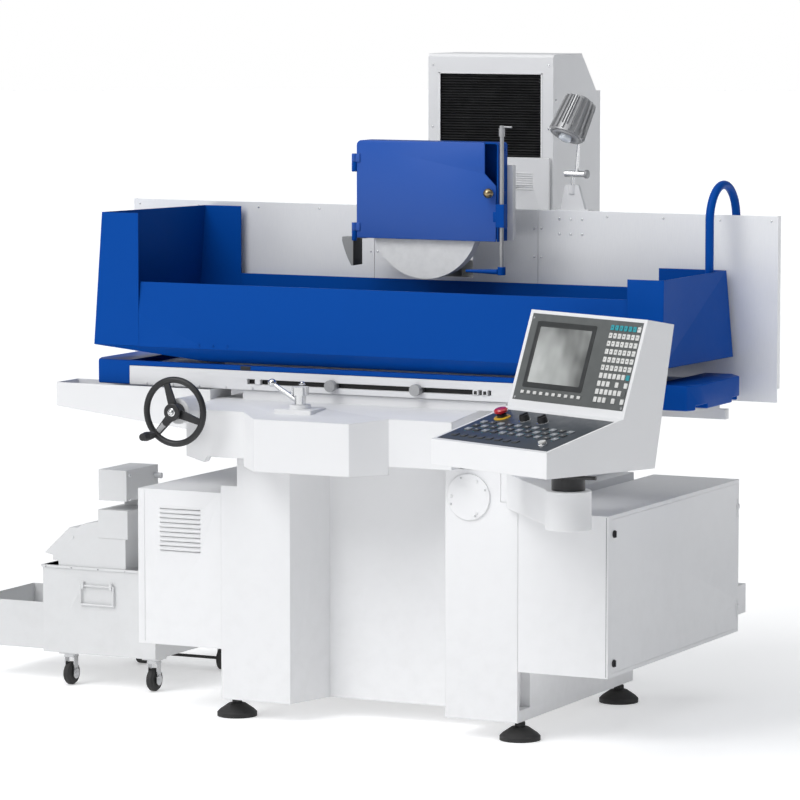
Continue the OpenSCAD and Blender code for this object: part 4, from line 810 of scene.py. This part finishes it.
def column_details():
    """Frame round the bellows window and the cover's screws on its front and both sides."""
    lo, hi = box_mm("column_cover")
    front = lo[1]
    z1 = hi[2] - 61
    rails = [block((-176, front - 1.4, 1184), (-170, front + 0.4, z1 + 4), 0.4),
             block((170, front - 1.4, 1184), (176, front + 0.4, z1 + 4), 0.4),
             block((-176, front - 1.4, z1), (176, front + 0.4, z1 + 5), 0.4)]
    piece("window_frame", rails, "sheet_white", "base")
    screws = [screw((sx * (hi[0] - 0.1), y, z), (sx, 0, 0), 9, 1.8) for sx in (-1, 1)
              for y in (front + 18, front + 190) for z in (1240, 1480, 1720, hi[2] - 140)]
    screws += [screw((x, front + 0.1, z), (0, -1, 0), 8, 1.6) for x in (-196, 196)
               for z in (1560, 1740, hi[2] - 34)]
    piece("column_screws", screws, "polished", "base")


def panel(x, z, y, rows, body, name):
    """Screwed cover on a rear face with a field of pressed louvres."""
    parts = [block((x[0], y - 0.4, z[0]), (x[1], y + 2.2, z[1]), 0.9, 5)]
    for k in range(rows):
        h = z[0] + (z[1] - z[0]) * 0.25 + 16 * k
        bow = np.stack([np.linspace(x[0] + 50, x[1] - 50, 24)] * 5, 1)
        rise = np.array([0.0, 2.5, 4.2, 2.8, 0.0])
        edge = np.minimum(np.arange(24), np.arange(24)[::-1]) / 3.0
        out = y + 2.0 + rise[None] * np.clip(edge, 0, 1)[:, None]
        up = h + np.array([0.0, 1.2, 4.0, 7.5, 9.0])[None] + 0 * bow
        ring = np.stack([bow, out, up], -1)
        inner = np.stack([bow[:, :1], 0 * bow[:, :1] + y + 1.6, up[:, 2:3]], -1)
        parts.append(grid(np.concatenate([ring, inner], 1), around=True, caps=True))
    piece(name, parts, "sheet_white", body)
    screws = [screw((sx, y + 2.1, sz), (0, 1, 0), 8, 1.6) for sx in (x[0] + 12, x[1] - 12)
              for sz in (z[0] + 12, (z[0] + z[1]) / 2, z[1] - 12)]
    piece(name + "_screws", screws, "steel", body)


def rear_details():
    hi = box_mm("column_cover")[1]
    panel((-160, 160), (1180, 1520), hi[1], 10, "base", "column_rear_panel")
    hi = box_mm("base_casting")[1]
    panel((-220, 220), (230, 560), hi[1], 8, "base", "base_rear_panel")


def base_details():
    """Seam of the right cabinet and the screws of the inspection cover."""
    lo, hi = box_mm("right_cabinet")
    front = lo[1]
    seam = [block((hi[0] - 12, front - 0.5, lo[2] + 4), (hi[0] - 10.4, front + 0.2, hi[2] - 4), 0.1)]
    piece("cabinet_seam", seam, "seam", "base")
    lo, hi = box_mm("inspection_cover")
    mid = (lo + hi) / 2
    r = (hi[0] - lo[0]) / 2
    ring = r - 9
    screws = [screw((mid[0] + ring * math.cos(a), lo[1] + 0.4, mid[2] + ring * math.sin(a)),
                    (0, -1, 0), 6, 1.2)
              for a in np.arange(4) * TAU / 4 + 0.4]
    piece("inspection_screws", screws, "steel", "base")


def coolant_details():
    """Hub caps of the castors and the screws of the tank and its separator."""
    for n in (1, 2):
        lo, hi = box_mm(f"caster_wheel_{n}")
        mid = (lo + hi) / 2
        caps = []
        for s in (-1, 1):
            at = mid + np.array([s * (hi[0] - lo[0]) / 2 - s * 0.2, 0, 0])
            caps.append(turned([(17, 0), (17, 0.6), (15, 1.1), (7, 1.1), (6.6, 1.8), (4, 2.0)],
                               at, (s, 0, 0), 28))
        piece(f"castor_hub_{n}", caps, "steel", f"caster_wheel_{n}")
    front = -115.0
    rivets = [screw((x, front - 3.9, 374), (0, -1, 0), 6, 1.2) for x in (-1262, -1170, -1075, -980, -888)]
    piece("tank_screws", rivets, "steel", "coolant_tank")
    lo, hi = box_mm("separator")
    piece("separator_screws", [screw((hi[0] - 12, lo[1] + 0.1, hi[2] - 14), (0, -1, 0), 7, 1.4),
                               screw((hi[0] - 12, lo[1] + 0.1, hi[2] - 90), (0, -1, 0), 7, 1.4)],
          "steel", "coolant_tank")


def lamp_details():
    """Rim, lens, cooling fins and back of the lamp head, and the knob of its lower joint."""
    ax, ay = math.radians(-28), math.radians(13)
    rx = np.array([[1, 0, 0], [0, math.cos(ax), -math.sin(ax)], [0, math.sin(ax), math.cos(ax)]])
    ry = np.array([[math.cos(ay), 0, math.sin(ay)], [0, 1, 0], [-math.sin(ay), 0, math.cos(ay)]])
    turn = ry @ rx
    at = np.array([430.0 - 14, 146.0 - 66, 1728.0 + 8])
    axis = turn @ np.array([0, 0, 1.0])
    rim = turned([(41.8, 8), (41.8, 1), (40, -3), (36, -5.5), (32, -5), (30, -2), (28, 3), (24, 4)],
                 at, axis, 56)
    piece("lamp_rim", [rim], "alloy", "lamp_head")
    lens = turned([(19, 3), (19, -11), (17.5, -14), (13, -16), (6, -17), (0.5, -17.2)], at, axis, 40)
    piece("lamp_lens", [lens], "lens", "lamp_head")
    cap = turned([(41.6, 117.5), (40, 120), (26, 122.5), (24, 128), (8, 130), (0.6, 130)], at, axis, 40)
    side, up, _ = axes_of(axis)
    fins = []
    for a in np.arange(20) / 20 * TAU:
        out = math.cos(a) * side + math.sin(a) * up
        outline = [(41, 20), (54, 22), (55, 28), (49.5, 112), (47, 117), (39, 118)]
        fins.append(slab(round_outline(outline, 1.5, 3), -1.1, 1.1, 0.4, at, out, axis))
    piece("lamp_fins", fins, "alloy", "lamp_head")
    piece("lamp_back", [cap], "alloy", "lamp_head")
    joint = np.array([402.0, 162.0, 1620.0])
    knob = turned([(11, 0), (13, 2), (13, 9), (11, 11), (4, 11.5)], joint + [40, 0, 0], (1, 0, 0), 24)
    piece("lamp_joint_knob", [knob], "alloy", "lamp_arm")


table_details()
hand_details()
guard_details()
plate_details()
column_details()
base_details()
rear_details()
coolant_details()
lamp_details()


# ---- Camera, light and floor ---------------------------------------------------------------

def camera():
    data = bpy.data.cameras.new("camera")
    data.sensor_width = 36
    data.lens = 198.89
    data.clip_end = 200
    cam = bpy.data.objects.new("camera", data)
    cam.location = (5.9822, -11.7991, 2.2796)
    cam.rotation_euler = (math.radians(90 - 5.7967), 0, math.radians(26.1029))
    bpy.context.scene.collection.objects.link(cam)
    bpy.context.scene.camera = cam


def sun(name, towards, strength, angle):
    """Far light that shines the same everywhere, from the direction given by towards."""
    data = bpy.data.lights.new(name, "SUN")
    data.energy = strength
    data.angle = math.radians(angle)
    lamp = bpy.data.objects.new(name, data)
    lamp.rotation_euler = Vector(towards).to_track_quat("Z", "Y").to_euler()
    bpy.context.scene.collection.objects.link(lamp)


def panel_light(name, at, target, size, watts, colour=(1, 1, 1)):
    data = bpy.data.lights.new(name, "AREA")
    data.shape = "RECTANGLE"
    data.size, data.size_y = size
    data.energy = watts
    data.color = colour
    lamp = bpy.data.objects.new(name, data)
    lamp.location = at
    lamp.rotation_euler = (Vector(target) - Vector(at)).to_track_quat("-Z", "Y").to_euler()
    bpy.context.scene.collection.objects.link(lamp)


def world():
    """Even pale surroundings; what the camera sees directly is plain white."""
    surround = bpy.data.worlds.new("studio")
    bpy.context.scene.world = surround
    surround.use_nodes = True
    w = Wires(surround.node_tree)
    lit = surround.node_tree.nodes["Background"]
    way = w.add("ShaderNodeSeparateXYZ", {"Vector": w.add("ShaderNodeTexCoord").outputs["Generated"]})
    left = w.span(way.outputs["X"], 0.7, -0.5)
    surround.node_tree.links.new(w.mix(left, (0.40, 0.43, 0.48), (0.95, 0.97, 1.0)), lit.inputs["Color"])
    lit.inputs["Strength"].default_value = 0.40
    seen = w.add("ShaderNodeBackground", {"Color": (1.0, 1.0, 1.0), "Strength": 1.0})
    path = w.add("ShaderNodeLightPath")
    both = w.add("ShaderNodeMixShader", {0: path.outputs["Is Camera Ray"], 1: lit.outputs[0],
                                         2: seen.outputs[0]})
    out = surround.node_tree.nodes["World Output"]
    surround.node_tree.links.new(both.outputs[0], out.inputs["Surface"])


def floor():
    n, radius = 64, 60.0
    a = np.arange(n) / n * TAU
    mesh = bpy.data.meshes.new("floor")
    mesh.from_pydata(np.stack([radius * np.cos(a), radius * np.sin(a), 0 * a - 0.0005], 1).tolist(), [],
                     [list(range(n))])
    m = bpy.data.materials.new("pale_floor")
    m.use_nodes = True
    w = Wires(m.node_tree)
    bsdf = m.node_tree.nodes["Principled BSDF"]
    tone = w.mix(w.span(w.noise(w.place(), 3.0, 4.0), 0.3, 0.7), (0.90, 0.90, 0.90), (0.93, 0.93, 0.93))
    m.node_tree.links.new(tone, bsdf.inputs["Base Color"])
    bsdf.inputs["Roughness"].default_value = 0.7
    bsdf.inputs["Specular IOR Level"].default_value = 0.1
    m.node_tree.links.new(tone, bsdf.inputs["Emission Color"])
    bsdf.inputs["Emission Strength"].default_value = 0.33
    mesh.materials.append(m)
    o = bpy.data.objects.new("floor", mesh)
    bpy.context.scene.collection.objects.link(o)


camera()
sun("key_sun", (-0.30, -0.66, 0.69), 1.50, 35)
sun("top_sun", (0.1, -0.1, 1.0), 0.75, 60)
panel_light("front_panel", (-3.5, -7.5, 3.4), (0, 0, 1.0), (3.0, 3.0), 40)
world()
floor()
view = bpy.context.scene.view_settings
view.view_transform = "Standard"
view.look = "None"
